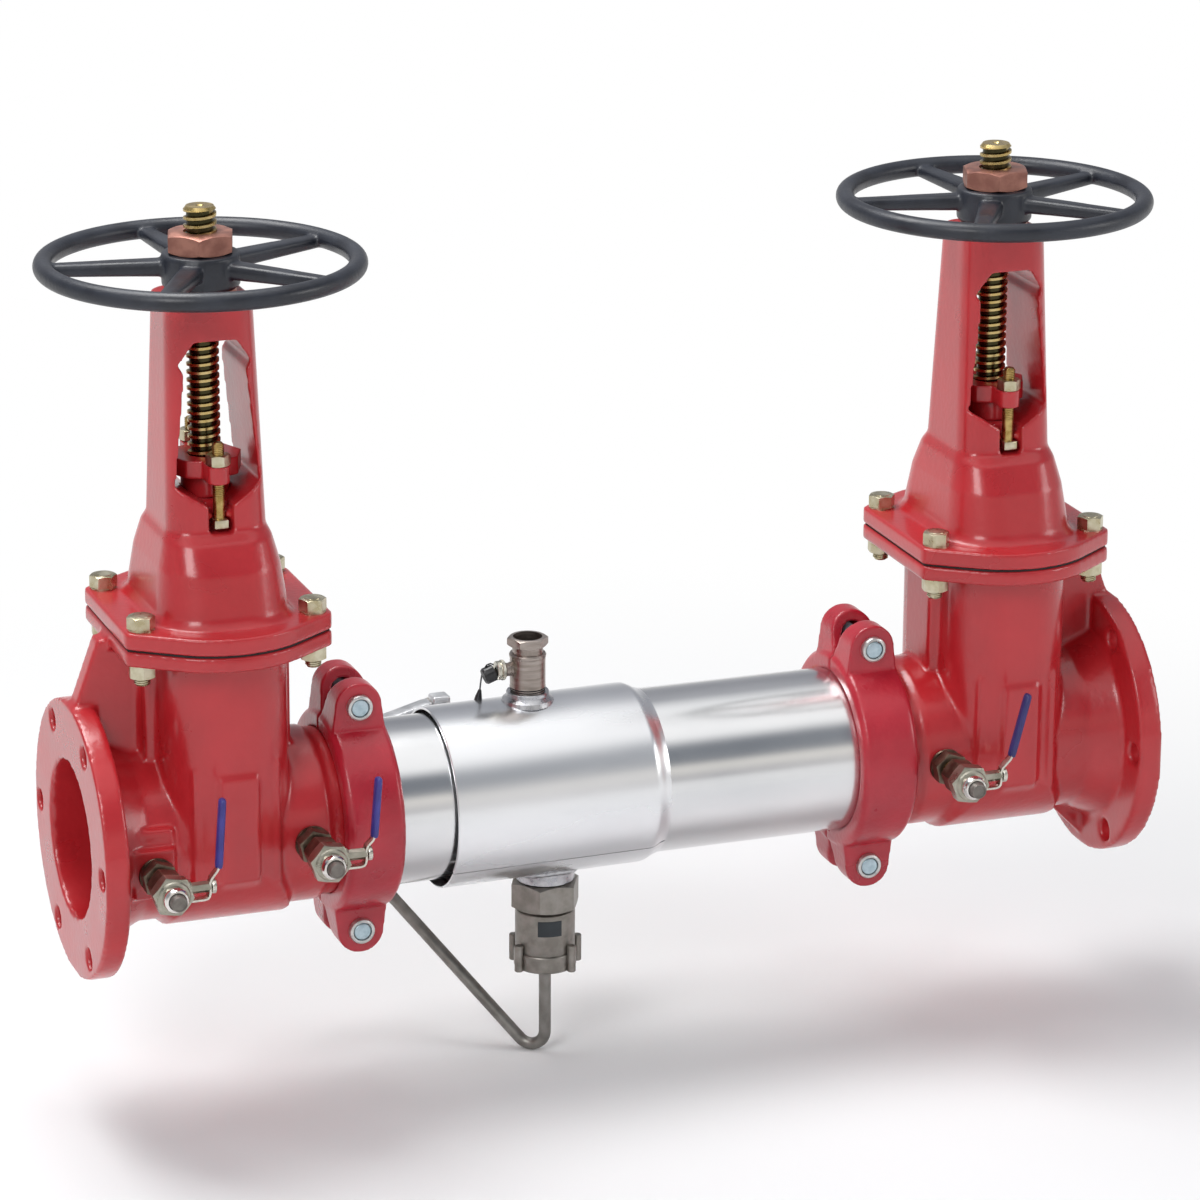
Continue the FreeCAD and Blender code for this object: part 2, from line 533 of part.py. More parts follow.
sub_part("inlet_valve_body", cut(
    "inlet_valve_body", fuse("inlet_casting", open_casting, tap_pad),
    cylinder("inlet_waterway", "bore / 2", "valve_length + 2", (-1, 0, 0), "x"),
    cylinder("inlet_tap", "tap_bore / 2", "barrel_width", ("tap_x", 0, "tap_z"), "-y"),
    sensing_rod("sensing_seat", value("tube_od / 2"), "barrel_width / 2 - sensing_seat"),
    sensing_rod("sensing_way", value("tube_bore / 2"), "bore / 4")))
sub_part("outlet_valve_body", mirror("outlet_valve_body", open_casting))

# Bonnet: a dome over the wedge's space, with the packing box and the two-legged yoke above it.


def dome_level(height, share, flare="0"):
    """The dome's outline at a height over its foot, a share of the way from the foot's to the yoke's."""
    sizes = [f"({foot} + {flare} - ({foot} - {head}) * {share})" for foot, head in (
        ("dome_half_x", "yoke_foot_x"), ("dome_half_y", "yoke_foot_y"), ("dome_corner", "yoke_foot_corner"))]
    return (f"({COVER_TOP} + {height})", *rounded(*sizes))


dome = lofted("dome", [
    dome_level("0", "0", "dome_flare"), dome_level("dome_flare_height", "0"),
    dome_level("dome_shoulder", "dome_shoulder_share"), dome_level("dome_brow", "dome_brow_share"),
    dome_level("dome_height", "1")], at=STEM)
yoke = lofted("yoke", [(DOME_TOP, *rounded("yoke_foot_x", "yoke_foot_y", "yoke_foot_corner")),
                       ("yoke_crown", *rounded("yoke_head_x", "yoke_head_y", "yoke_head_corner"))], at=STEM)
window = padded("window", [
    ("-slot_half", "sill"), ("slot_half", "sill"), ("window_foot_half", "window_low"),
    ("window_notch_half", "notch"), ("window_shoulder_half", "shoulder"),
    ("window_top_half", "window_high"), ("-window_top_half", "window_high"),
    ("-window_shoulder_half", "shoulder"), ("-window_notch_half", "notch"),
    ("-window_foot_half", "window_low")], "-dome_half_y", "dome_half_y", "-y", None, STEM)
wedge_space = lofted("wedge_space", [
    (f"{BONNET_AT} - 1", *rounded("pocket_x", "pocket_y", "pocket_corner")),
    (f"{BONNET_AT} + cavity_height", *rounded("pocket_x", "cavity_top_y", "pocket_corner"))], at=STEM)
bolt_slots = [block(f"bolt_slot_{side}", ("valve_centre - slot_half", low, "slot_low"),
                    ("valve_centre + slot_half", high, "sill + 1"))
              for side, low, high in (("front", "-dome_half_y", "-slot_depth"), ("back", "slot_depth", "dome_half_y"))]
ledge_holes = [block(f"ledge_slot_{side}", ("valve_centre - gland_bolt / 2 - fit_gap", low, "slot_low"),
                     ("valve_centre + gland_bolt / 2 + fit_gap", high, "sill + 1"))
               for side, low, high in (("front", "-dome_half_y", "-slot_depth"), ("back", "slot_depth", "dome_half_y"))]
ledges = [block(f"ledge_{side}", ("valve_centre - slot_half", low, "tee_foot + tee_height"),
                ("valve_centre + slot_half", high, "tee_foot + tee_height + ledge_height"))
          for side, low, high in (("front", "-ledge_depth", "-slot_depth"), ("back", "slot_depth", "ledge_depth"))]
hollow_bonnet = cut(
    "hollow_bonnet", fuse("solid_bonnet", cover_plate("bonnet_foot", BONNET_AT, COVER_TOP), dome, yoke),
    window, wedge_space, *bolt_slots, *cover_holes("bonnet_hole", f"{BONNET_AT} - 1", f"{COVER_TOP} + 60"),
    cylinder("stem_way", "stem_od / 2 + stem_gap", "yoke_crown", STEM),
    cylinder("packing_box", "packing_bore / 2", "window_low - packing_foot", ("valve_centre", 0, "packing_foot")),
    cylinder("yoke_bore", "yoke_sleeve + 1", "yoke_crown - window_high + 1", ("valve_centre", 0, "window_high - 0.5")),
    cylinder("collar_seat", "yoke_collar + fit_gap", "yoke_crown - window_high",
             ("valve_centre", 0, "window_high + yoke_ceiling")))
bonnet = sub_part("inlet_bonnet", cut("inlet_bonnet", fuse("ledged_bonnet", hollow_bonnet, *ledges), *ledge_holes))
sub_part("outlet_bonnet", mirror("outlet_bonnet", bonnet))

# Bonnet gaskets, bolts and nuts.
gasket_outline, gasket_arcs = cover_outline("gasket_inset")
pocket_outline, pocket_arcs = rounded("pocket_x", "pocket_y", "pocket_corner")
gasket = cut("bonnet_gasket", padded("gasket_sheet", gasket_outline, "neck_top", BONNET_AT, "z", gasket_arcs, STEM),
             padded("gasket_opening", pocket_outline, "neck_top - 1", f"{BONNET_AT} + 1", "z", pocket_arcs, STEM),
             *cover_holes("gasket_hole", "neck_top - 1", f"{BONNET_AT} + 1"))
sub_part("bonnet_gaskets", group("bonnet_gaskets", gasket, mirror("outlet_gasket", gasket)))
fasteners = []
for number, (across, along) in enumerate(((1, 1), (-1, 1), (-1, -1), (1, -1))):
    spot = (f"valve_centre + ({across}) * cover_bolt_x", f"({along}) * cover_bolt_y")
    shank = cylinder(f"cover_shank_{number}", "cover_bolt / 2",
                     f"{COVER_TOP} - {FLANGE_UNDER} + bolt_head_height + bolt_tail",
                     (*spot, f"{FLANGE_UNDER} - bolt_head_height - bolt_tail"))
    head = bar(f"cover_head_{number}", "bolt_head_flats", "bolt_head_height", (*spot, COVER_TOP))
    fasteners += [fuse(f"cover_bolt_{number}", shank, head),
                  hex_nut(f"cover_nut_{number}", "bolt_head_flats", "cover_bolt / 2", "bolt_head_height",
                          (*spot, f"{FLANGE_UNDER} - bolt_head_height"))]
sub_part("bonnet_bolts", group("bonnet_bolts", *fasteners,
                               *[mirror(f"outlet_{item.Name}", item) for item in fasteners]))

# Packing, gland follower and its T-head bolts.
packing = ring("packing", "stem_od / 2 + fit_gap", "packing_bore / 2", "packing_foot",
               "packing_foot + packing_height", STEM)
sub_part("stem_packings", group("stem_packings", packing, mirror("outlet_packing", packing)))
ears = [cylinder(f"gland_ear_{side}", "gland_ear", "gland_plate", ("valve_centre", f"({side}) * gland_bolt_y", "gland_foot"))
        for side in (-1, 1)]
gland = sub_part("inlet_gland_follower", cut(
    "inlet_gland_follower",
    fuse("gland_blank", bar("gland_plate_bar", "gland_flats", "gland_plate", ("valve_centre", 0, "gland_foot"), sides=8),
         cylinder("gland_sleeve", "packing_bore / 2 - fit_gap", "gland_foot - packing_foot - packing_height",
                  ("valve_centre", 0, "packing_foot + packing_height")),
         block("gland_bridge", ("valve_centre - gland_ear", "-gland_bolt_y", "gland_foot"),
               ("valve_centre + gland_ear", "gland_bolt_y", "gland_foot + gland_plate")), *ears),
    cylinder("gland_bore", "stem_od / 2 + stem_gap", "yoke_crown", STEM),
    *[cylinder(f"gland_bolt_hole_{side}", "gland_bolt / 2 + fit_gap", "yoke_crown",
               ("valve_centre", f"({side}) * gland_bolt_y", 0)) for side in (-1, 1)]))
sub_part("outlet_gland_follower", mirror("outlet_gland_follower", gland))
gland_bolts = []
for side in (-1, 1):
    centre = f"({side}) * gland_bolt_y"
    gland_bolts += [
        fuse(f"gland_bolt_{side}", cylinder(f"gland_shank_{side}", "gland_bolt / 2", "gland_bolt_end - tee_foot",
                                            ("valve_centre", centre, "tee_foot")),
             block(f"gland_tee_{side}", ("valve_centre - tee_half_x", f"{centre} - tee_half_y", "tee_foot"),
                   ("valve_centre + tee_half_x", f"{centre} + tee_half_y", "tee_foot + tee_height"))),
        hex_nut(f"gland_nut_{side}", "gland_nut_flats", "gland_bolt / 2", "gland_nut_height",
                ("valve_centre", centre, "gland_foot + gland_plate"))]
sub_part("gland_bolts", group("gland_bolts", *gland_bolts,
                              *[mirror(f"outlet_{number}_gland", item) for number, item in enumerate(gland_bolts)]))

# Rising stem, held in the wedge by its button.
stem = sub_part("inlet_stem", turned("inlet_stem", [
    (0, "button_low"), ("button_radius", "button_low"), ("button_radius", "button_high"),
    ("stem_neck", "button_high"), ("stem_neck", "wedge_head"), ("stem_collar", "wedge_head"),
    ("stem_collar", "wedge_head + collar_height"), ("stem_od / 2", "wedge_head + collar_height"),
    ("stem_od / 2", "stem_end - 2"), ("stem_od / 2 - 2", "stem_end"), (0, "stem_end")], STEM))
sub_part("outlet_stem", mirror("outlet_stem", stem))

# Wedge: a dished disc with side lugs that run in the neck and a slotted head for the stem's button.
disc = turned("wedge_disc", [
    (0, "-wedge_dish"), ("wedge_dish_radius", "-wedge_dish"), ("wedge_rim", "-wedge_half"),
    ("wedge_reach - wedge_edge", "-wedge_half"), ("wedge_reach", "wedge_edge - wedge_half"),
    ("wedge_reach", "wedge_half - wedge_edge"), ("wedge_reach - wedge_edge", "wedge_half"),
    ("wedge_rim", "wedge_half"), ("wedge_dish_radius", "wedge_dish"), (0, "wedge_dish")], STEM, "x")
lug_bar = block("wedge_lugs", ("valve_centre - lug_half_x", "-wedge_reach - wedge_lug", "-lug_foot"),
                ("valve_centre + lug_half_x", "wedge_reach + wedge_lug", "lug_head"))
head = block("wedge_head", ("valve_centre - head_half_x", "-head_half_y", 0),
             ("valve_centre + head_half_x", "head_half_y", "wedge_head"))
wedge = sub_part("inlet_wedge", cut(
    "inlet_wedge", fuse("wedge_blank", disc, lug_bar, head),
    block("button_slot", ("valve_centre - head_half_x - 20", "-button_radius", "button_low"),
          ("valve_centre + head_half_x + 20", "button_radius", "button_high")),
    block("neck_slot", ("valve_centre - head_half_x - 20", "-stem_neck", "button_low"),
          ("valve_centre + head_half_x + 20", "stem_neck", "wedge_head + 1"))))
sub_part("outlet_wedge", mirror("outlet_wedge", wedge))

# Yoke nut and the cap that holds its collar down; the handwheel turns the nut and lifts the stem.
COLLAR_LOW = "(window_high + yoke_ceiling + fit_gap)"
WHEEL_FOOT = "(yoke_crown + cap_height + 2 * fit_gap)"
WHEEL_NUT_TOP = "(hub_crown + wheel_nut_height)"
yoke_nut = sub_part("inlet_yoke_nut", turned("inlet_yoke_nut", [
    ("stem_od / 2 + stem_gap", COLLAR_LOW), ("yoke_collar", COLLAR_LOW), ("yoke_collar", "yoke_crown - fit_gap"),
    ("yoke_sleeve", "yoke_crown - fit_gap"), ("yoke_sleeve", WHEEL_NUT_TOP),
    ("stem_od / 2 + stem_gap", WHEEL_NUT_TOP)], STEM))
sub_part("outlet_yoke_nut", mirror("outlet_yoke_nut", yoke_nut))
yoke_cap = ring("yoke_cap", "yoke_sleeve + fit_gap", "cap_radius", "yoke_crown", "yoke_crown + cap_height", STEM)
sub_part("yoke_caps", group("yoke_caps", yoke_cap, mirror("outlet_yoke_cap", yoke_cap)))


def handwheel(name, centre):
    """Hub, five tapered round spokes and a round rim."""
    hub = turned(name + "_hub", [
        ("yoke_sleeve", WHEEL_FOOT), ("wheel_hub_radius - 3", WHEEL_FOOT), ("wheel_hub_radius", f"{WHEEL_FOOT} + 3"),
        ("wheel_hub_radius", "hub_crown - 2"), ("wheel_hub_radius - 2", "hub_crown"),
        ("yoke_sleeve", "hub_crown")], (centre, 0, 0))
    rim = doc.addObject("Part::Torus", name + "_rim")
    bind(rim, "Radius1", "wheel_radius")
    bind(rim, "Radius2", "rim_radius")
    place(rim, (centre, 0, "rim_level"))
    root = rounded("spoke_root_half", "spoke_root_depth", "(spoke_root_depth * 0.7)")
    tip = rounded("spoke_tip_half", "spoke_tip_depth", "(spoke_tip_depth * 0.7)")
    spokes = []
    for turn in range(int(value("spokes"))):
        spoke = lofted(f"{name}_spoke_{turn}", [("wheel_hub_radius - 6", *root), ("wheel_radius", *tip)], "x",
                       (centre, 0, "(spoke_level + rim_level) / 2"))
        bind(spoke, "Placement.Rotation.Angle", f"spoke_turn + {turn} * 360 / spokes")
        spokes.append(spoke)
    return fuse(name, hub, rim, *spokes)


for side, centre in (("inlet", "valve_centre"), ("outlet", "overall_length - valve_centre")):
    sub_part(f"{side}_handwheel", handwheel(f"{side}_handwheel", centre))
    nut_at = (centre, 0, "hub_crown")
    chamfer = turned(f"{side}_nut_chamfer", [
        (0, "hub_crown"), ("wheel_nut_flats / 2 + 2", "hub_crown"), ("wheel_nut_flats / 2 + 6", "hub_crown + 3"),
        ("wheel_nut_flats / 2 + 6", f"{WHEEL_NUT_TOP} - 4"), ("wheel_nut_flats / 2 - 1", WHEEL_NUT_TOP),
        (0, WHEEL_NUT_TOP)], (centre, 0, 0))
    sub_part(f"{side}_wheel_nut", cut(
        f"{side}_wheel_nut", common(f"{side}_nut_blank", chamfer,
                                    bar(f"{side}_nut_bar", "wheel_nut_flats", "wheel_nut_height", nut_at)),
        cylinder(f"{side}_nut_bore", "yoke_sleeve", "wheel_nut_height", nut_at)))

# Grooved couplings: two halves whose keys seat in the grooves, a rubber ring, two bolts along Y.
COUPLING = (COUPLING_AT, 0, 0)
band = turned("band", [
    ("key_reach", "-key_far"), ("pipe_width / 2 + fit_gap", "-key_far"), ("pipe_width / 2 + fit_gap", "-band_half"),
    ("band_reach - band_chamfer", "-band_half"), ("band_reach", "band_chamfer - band_half"),
    ("band_reach", "band_half - band_chamfer"), ("band_reach - band_chamfer", "band_half"),
    ("pipe_width / 2 + fit_gap", "band_half"), ("pipe_width / 2 + fit_gap", "key_far"), ("key_reach", "key_far"),
    ("key_reach", "key_near"), ("seal_reach", "key_near"), ("seal_reach", "-key_near"),
    ("key_reach", "-key_near")], COUPLING, "x")


def ear_outline(half_width, low):
    """An upright lobe round the bolt's axis, seen along the bolt, upper and lower."""
    level, radius = "ear_level", f"({half_width})"
    upper = [(f"-ear_foot * {half_width} / ear_radius", low), (f"ear_foot * {half_width} / ear_radius", low),
             (radius, level), (0, f"{level} + {radius}"), (f"-{radius}", level)]
    lower = [(x, f"-({z})") for x, z in reversed(upper)]
    return {1: (upper, {2: radius, 3: radius}), -1: (lower, {0: radius, 1: radius})}


def coupling_half(name, side):
    """One half of the band with its two ears: side is -1 at the front and 1 at the back. Each ear leans
    away from the other half's, and is hollow behind the pad that its bolt bears on."""
    low, high = ("-band_reach", "-split_gap") if side < 0 else ("split_gap", "band_reach")
    near, far = ("split_gap", "ear_depth") if side < 0 else ("-ear_depth", "-split_gap")
    half = common(name + "_band", band, block(name + "_space", (f"{COUPLING_AT} - band_half", low, "-band_reach"),
                                              (f"{COUPLING_AT} + band_half", high, "band_reach")))
    ears, spaces = [], [cylinder(name + "_seal_space", "seal_reach", "2 * key_near",
                                 (f"{COUPLING_AT} - key_near", 0, 0), "x")]
    for end, sign in (("upper", 1), ("lower", -1)):
        corners, arcs = ear_outline("ear_radius", "band_reach - 3 * band_chamfer")[sign]
        ears.append(padded(f"{name}_{end}_ear", corners, near, far, "-y", arcs, COUPLING))
        corners, arcs = ear_outline("ear_slot / 2", "band_reach + band_chamfer")[sign]
        spaces += [padded(f"{name}_{end}_hollow", corners, "ear_pad - ear_depth", "ear_depth - ear_pad", "-y",
                          arcs, COUPLING),
                   cylinder(f"{name}_{end}_hole", "coupling_bolt_hole / 2", "2 * ear_depth",
                            (COUPLING_AT, "-ear_depth", f"({sign}) * ear_level"), "y")]
        lean = [(0, "band_reach"), ("ear_lean", "ear_level + ear_radius"), ("-ear_lean", "ear_level + ear_radius")]
        if sign < 0:
            lean = [(y, f"-({z})") for y, z in reversed(lean)]
        spaces.append(padded(f"{name}_{end}_lean", lean, "-ear_foot", "ear_foot", "x", None, COUPLING))
    return cut(name, fuse(name + "_blank", half, *ears), *spaces)


for place_name, about in (("inlet", None), ("outlet", "overall_length / 2")):
    for face, side in (("front", -1), ("rear", 1)):
        label = f"{place_name}_coupling_{face}"
        if about is None:
            sub_part(label, coupling_half(label, side))
        else:
            sub_part(label, mirror(label, doc.getObject(f"inlet_coupling_{face}"), about))
rubber = turned("coupling_gasket", [
    ("pipe_width / 2", "-seal_side"), ("seal_reach - fit_gap", "-seal_side"), ("seal_reach - fit_gap", "seal_side"),
    ("pipe_width / 2", "seal_side"), ("pipe_width / 2", "coupling_gap + 3"), ("pipe_width / 2 + 4", "coupling_gap + 3"),
    ("pipe_width / 2 + 4", "-coupling_gap - 3"), ("pipe_width / 2", "-coupling_gap - 3")], COUPLING, "x")
sub_part("coupling_gaskets", group("coupling_gaskets", rubber, mirror("outlet_rubber", rubber)))
clamp_bolts = []
for sign in (1, -1):
    height = f"({sign}) * ear_level"
    bolt_length = "2 * ear_depth + coupling_nut_height + coupling_bolt_tail"
    clamp_bolts += [
        fuse(f"clamp_bolt_{sign}", cylinder(f"clamp_shank_{sign}", "coupling_bolt / 2", bolt_length,
                                            (COUPLING_AT, "-ear_depth", height), "y"),
             cylinder(f"clamp_head_{sign}", "coupling_head_radius", "coupling_head_height",
                      (COUPLING_AT, "-ear_depth", height), "-y")),
        hex_nut(f"clamp_nut_{sign}", "coupling_nut_flats", "coupling_bolt / 2", "coupling_nut_height",
                (COUPLING_AT, "ear_depth", height), "y")]
sub_part("coupling_bolts", group("coupling_bolts", *clamp_bolts,
                                 *[mirror(f"outlet_{number}_clamp", item) for number, item in enumerate(clamp_bolts)]))

# Stainless check housing: a thin tube, rolled to a groove near each end, with a port under the sleeve.
WALL_IN = "(pipe_width / 2 - housing_wall)"
GROOVE_IN = f"({GROOVE_RADIUS} - housing_wall)"
near, far = f"{HOUSING_FROM} + groove_offset", f"{HOUSING_TO} - groove_offset"
tube_profile = [
    (WALL_IN, HOUSING_FROM), ("pipe_width / 2", HOUSING_FROM), ("pipe_width / 2", near), (GROOVE_RADIUS, near),
    (GROOVE_RADIUS, f"{near} + groove_width"), ("pipe_width / 2", f"{near} + groove_width"),
    ("pipe_width / 2", f"{far} - groove_width"), (GROOVE_RADIUS, f"{far} - groove_width"), (GROOVE_RADIUS, far),
    ("pipe_width / 2", far), ("pipe_width / 2", HOUSING_TO), (WALL_IN, HOUSING_TO), (WALL_IN, f"{far} + groove_flare"),
    (GROOVE_IN, far), (GROOVE_IN, f"{far} - groove_width"), (WALL_IN, f"{far} - groove_width - groove_flare"),
    (WALL_IN, f"{near} + groove_width + groove_flare"), (GROOVE_IN, f"{near} + groove_width"), (GROOVE_IN, near),
    (WALL_IN, f"{near} - groove_flare")]
access_port = block("access_port", ("port_start", "-pipe_width", "-port_half"), ("port_end", 0, "port_half"))
sub_part("check_housing", cut(
    "check_housing", turned("housing_tube", tube_profile, axis="x"), access_port,
    cylinder("housing_top_port", "top_bore", "pipe_width", ("top_port_at", 0, 0)),
    cylinder("housing_relief_port", "relief_neck", "pipe_width", ("relief_at", 0, 0), "-z")))

# Access sleeve with the two welded bosses, on rubber rings.
SLEEVE_IN = "(sleeve_reach - sleeve_wall)"
sleeve_tube = turned("sleeve_tube", [
    (SLEEVE_IN, "sleeve_start"), ("sleeve_reach", "sleeve_start"), ("sleeve_reach", "sleeve_end - sleeve_bevel"),
    ("pipe_width / 2 + fit_gap + sleeve_wall / 2", "sleeve_end"), ("pipe_width / 2 + fit_gap", "sleeve_end"),
    (SLEEVE_IN, "sleeve_end - sleeve_bevel")], axis="x")
top_boss = turned("top_boss", [(0, "pipe_width / 2"), ("boss_radius", "pipe_width / 2"), ("boss_radius", "boss_crown - 9"),
                               ("top_radius + 3", "boss_crown - 4"), ("top_radius + 3", "boss_crown"), (0, "boss_crown")],
                  ("top_port_at", 0, 0))
relief_boss = cylinder("relief_boss", "relief_boss_radius", "relief_boss_foot - pipe_width / 2",
                       ("relief_at", 0, "-pipe_width / 2"), "-z")
sub_part("access_sleeve", cut(
    "access_sleeve", fuse("sleeve_blank", sleeve_tube, top_boss, relief_boss),
    cylinder("sleeve_inside", SLEEVE_IN, "sleeve_end - sleeve_start - sleeve_bevel", ("sleeve_start", 0, 0), "x"),
    cylinder("top_boss_hole", "top_neck", "boss_crown + 1", ("top_port_at", 0, 0)),
    cylinder("relief_boss_hole", "relief_neck", "relief_boss_foot + 1", ("relief_at", 0, 0), "-z")))
seals = [ring(f"sleeve_seal_{end}", "pipe_width / 2", SLEEVE_IN, low, f"{low} + sleeve_seal", axis="x")
         for end, low in (("near", "sleeve_start + seal_inset"), ("far", "sleeve_end - seal_inset - sleeve_seal"))]
sub_part("sleeve_seals", group("sleeve_seals", *seals))


def check_module(name, start):
    """A seat ring with a four-legged cage, the poppet that closes on it, and the poppet's spring."""
    seat_end, cage_end = f"({start} + seat_length)", f"({start} + seat_length + cage_length)"
    seat = turned(name + "_seat_ring", [
        ("seat_bore", start), (WALL_IN, start), (WALL_IN, seat_end), ("seat_bore + 4", seat_end),
        ("seat_bore", f"{seat_end} - 4")], axis="x")
    hub = ring(name + "_cage_hub", "poppet_stem + 1", "cage_hub", f"{cage_end} - cage_plate", cage_end, axis="x")
    legs, arms = [], []
    for turn in range(int(value("cage_legs"))):
        angle = f"(45 + {turn} * 360 / cage_legs)"
        legs.append(cylinder(f"{name}_leg_{turn}", "cage_leg", f"{cage_end} - {seat_end} + 1", (
            f"{seat_end} - 1", f"(cage_reach - cage_leg) * cos({angle})", f"(cage_reach - cage_leg) * sin({angle})"), "x"))
        arm = doc.addObject("Part::Box", f"{name}_arm_{turn}")
        bind(arm, "Length", "cage_plate")
        bind(arm, "Width", "cage_reach - cage_hub - cage_leg + 2")
        bind(arm, "Height", "cage_leg")
        place(arm, (f"{cage_end} - cage_plate", f"(cage_hub - 2) * cos({angle}) + cage_leg / 2 * sin({angle})",
                    f"(cage_hub - 2) * sin({angle}) - cage_leg / 2 * cos({angle})"))
        arm.Placement = FreeCAD.Placement(arm.Placement.Base, FreeCAD.Rotation(FreeCAD.Vector(1, 0, 0), 45))
        bind(arm, "Placement.Rotation.Angle", angle)
        arms.append(arm)
    sub_part(name + "_seat", fuse(name + "_seat", seat, hub, *legs, *arms))
    face = f"({seat_end} + fit_gap)"
    back = f"({face} + poppet_thickness)"
    sub_part(name + "_poppet", turned(name + "_poppet", [
        (0, face), ("poppet_reach - 3", face), ("poppet_reach", f"{face} + 3"), ("poppet_reach", back),
        ("cage_hub + 2", back), ("poppet_stem", f"{back} + 6"), ("poppet_stem", f"{cage_end} + 4"),
        (0, f"{cage_end} + 4")], axis="x"))
    length = f"({cage_end} - cage_plate - {back} - 2 * check_wire - 2 * fit_gap)"
    sub_part(name + "_spring", coil(name + "_spring", "check_coil", "check_wire", length, "check_turns",
                                    (f"{back} + check_wire + fit_gap", 0, 0), "x"))


check_module("first_check", "first_check_at")
check_module("second_check", "second_check_at")

# Relief valve: screwed under the sleeve, opened by falling pressure in the sensing tube.
RELIEF = ("relief_at", 0, 0)
sub_part("relief_union_nut", cut(
    "relief_union_nut", bar("union_bar", "union_flats", "union_foot - relief_boss_foot",
                            ("relief_at", 0, "-relief_boss_foot"), "-z"),
    cylinder("union_bore", "relief_neck", "union_foot", RELIEF, "-z")))
sub_part("relief_body", turned("relief_body", [
    ("relief_bore", "pipe_width / 2"), ("relief_neck", "pipe_width / 2"), ("relief_neck", "union_foot"),
    ("relief_radius", "relief_step"), ("relief_radius", "relief_foot"), ("relief_chamber", "relief_foot"),
    ("relief_chamber", "relief_seat_at"), ("relief_bore", "relief_seat_at")], RELIEF, "-z"))
lug_cups = []
for lug in range(int(value("lugs"))):
    for part, spread in enumerate(("lug_spread", "-lug_spread")):
        turn = f"({lug} * 360 / lugs + lug_turn + {spread})"
        lug_cups.append(cylinder(f"lug_{lug}_{part}", "lug_radius", "lug_low - lug_high", (
            f"relief_at + lug_reach * cos({turn})", f"lug_reach * sin({turn})", "-lug_high"), "-z"))
sub_part("relief_lug_nut", cut(
    "relief_lug_nut", fuse("lug_nut_blank", cylinder("lug_ring", "lug_reach", "lug_low - lug_high",
                                                     ("relief_at", 0, "-lug_high"), "-z"), *lug_cups),
    cylinder("lug_nut_seat", "relief_radius", "relief_foot - lug_high", ("relief_at", 0, "-lug_high"), "-z"),
    cylinder("lug_nut_bore", "tube_od / 2", "lug_low", RELIEF, "-z")))
sub_part("relief_disc", turned("relief_disc", [
    (0, "relief_seat_at - 40"), ("relief_stem", "relief_seat_at - 40"), ("relief_stem", "relief_seat_at + fit_gap"),
    ("relief_disc", "relief_seat_at + fit_gap"), ("relief_disc", "relief_seat_at + 5"), (0, "relief_seat_at + 5")],
    RELIEF, "-z"))
SPRING_TOP = "(relief_seat_at + 5 + relief_wire + fit_gap)"
sub_part("relief_spring", coil(
    "relief_spring", "relief_coil", "relief_wire", f"relief_foot - relief_wire - fit_gap - {SPRING_TOP}",
    "relief_turns", ("relief_at", 0, f"-{SPRING_TOP}"), "-z"))


sub_part("sensing_tube", cut(
    "sensing_tube", sensing_rod("sensing_line", value("tube_od / 2"), "barrel_width / 2 - sensing_seat"),
    sensing_rod("sensing_bore", value("tube_bore / 2"), "barrel_width / 2 - sensing_seat")))

# Top test port: a turned body with a hex mouth and a side port under a tethered dust cap.
top_body = fuse("top_blank", turned("top_turned", [
    (0, "pipe_width / 2 + 4"), ("top_neck", "pipe_width / 2 + 4"), ("top_neck", "boss_crown"), ("top_radius", "boss_crown"),
    ("top_radius", "top_step - 1"), ("top_radius - 1", "top_step"), ("top_neck", "top_step"),
    ("top_neck", "hex_start"), (0, "hex_start")], ("top_port_at", 0, 0)),
    bar("top_hex", "top_flats", "mouth - hex_start", ("top_port_at", 0, "hex_start")),
    cylinder("side_port", "side_port", "top_port_at - side_end - 7", ("side_end + 7", 0, "side_port_level"), "x"),
    cylinder("side_ring", "side_ring", 7, ("side_end", 0, "side_port_level"), "x"))
sub_part("top_test_port", cut(
    "top_test_port", top_body, cylinder("top_way", "top_bore", "mouth", ("top_port_at", 0, "pipe_width / 2")),
    cylinder("side_way", "side_port / 2", "top_port_at - side_end", ("side_end", 0, "side_port_level"), "x")))
sub_part("dust_cap", turned("dust_cap", [
    (0, 0), ("dust_cap_radius - 1", 0), ("dust_cap_radius", 1), ("dust_cap_radius", "dust_cap_length - 2"),
    ("dust_cap_radius - 2", "dust_cap_length"), (0, "dust_cap_length")],
    ("side_end", 0, "side_port_level"), "-x"))
TETHER_TOP = "(side_end - dust_cap_length - tether)"
tether_tip = turned("tether_tip", [(0, "sleeve_reach"), (3.5, "sleeve_reach"), ("tether", "sleeve_reach + 12"),
                                   (0, "sleeve_reach + 12")], ("tether_at", 0, 0))
tether_points = [FreeCAD.Vector(value("tether_at"), 0, value("sleeve_reach") + 11),
                 FreeCAD.Vector(value("tether_at"), 0, value("side_port_level")),
                 FreeCAD.Vector(value(TETHER_TOP) + value("tether"), 0, value("side_port_level"))]
sub_part("cap_tether", fuse("cap_tether", tether_tip, bent_rod("tether_line", value("tether"), tether_points, [4])))

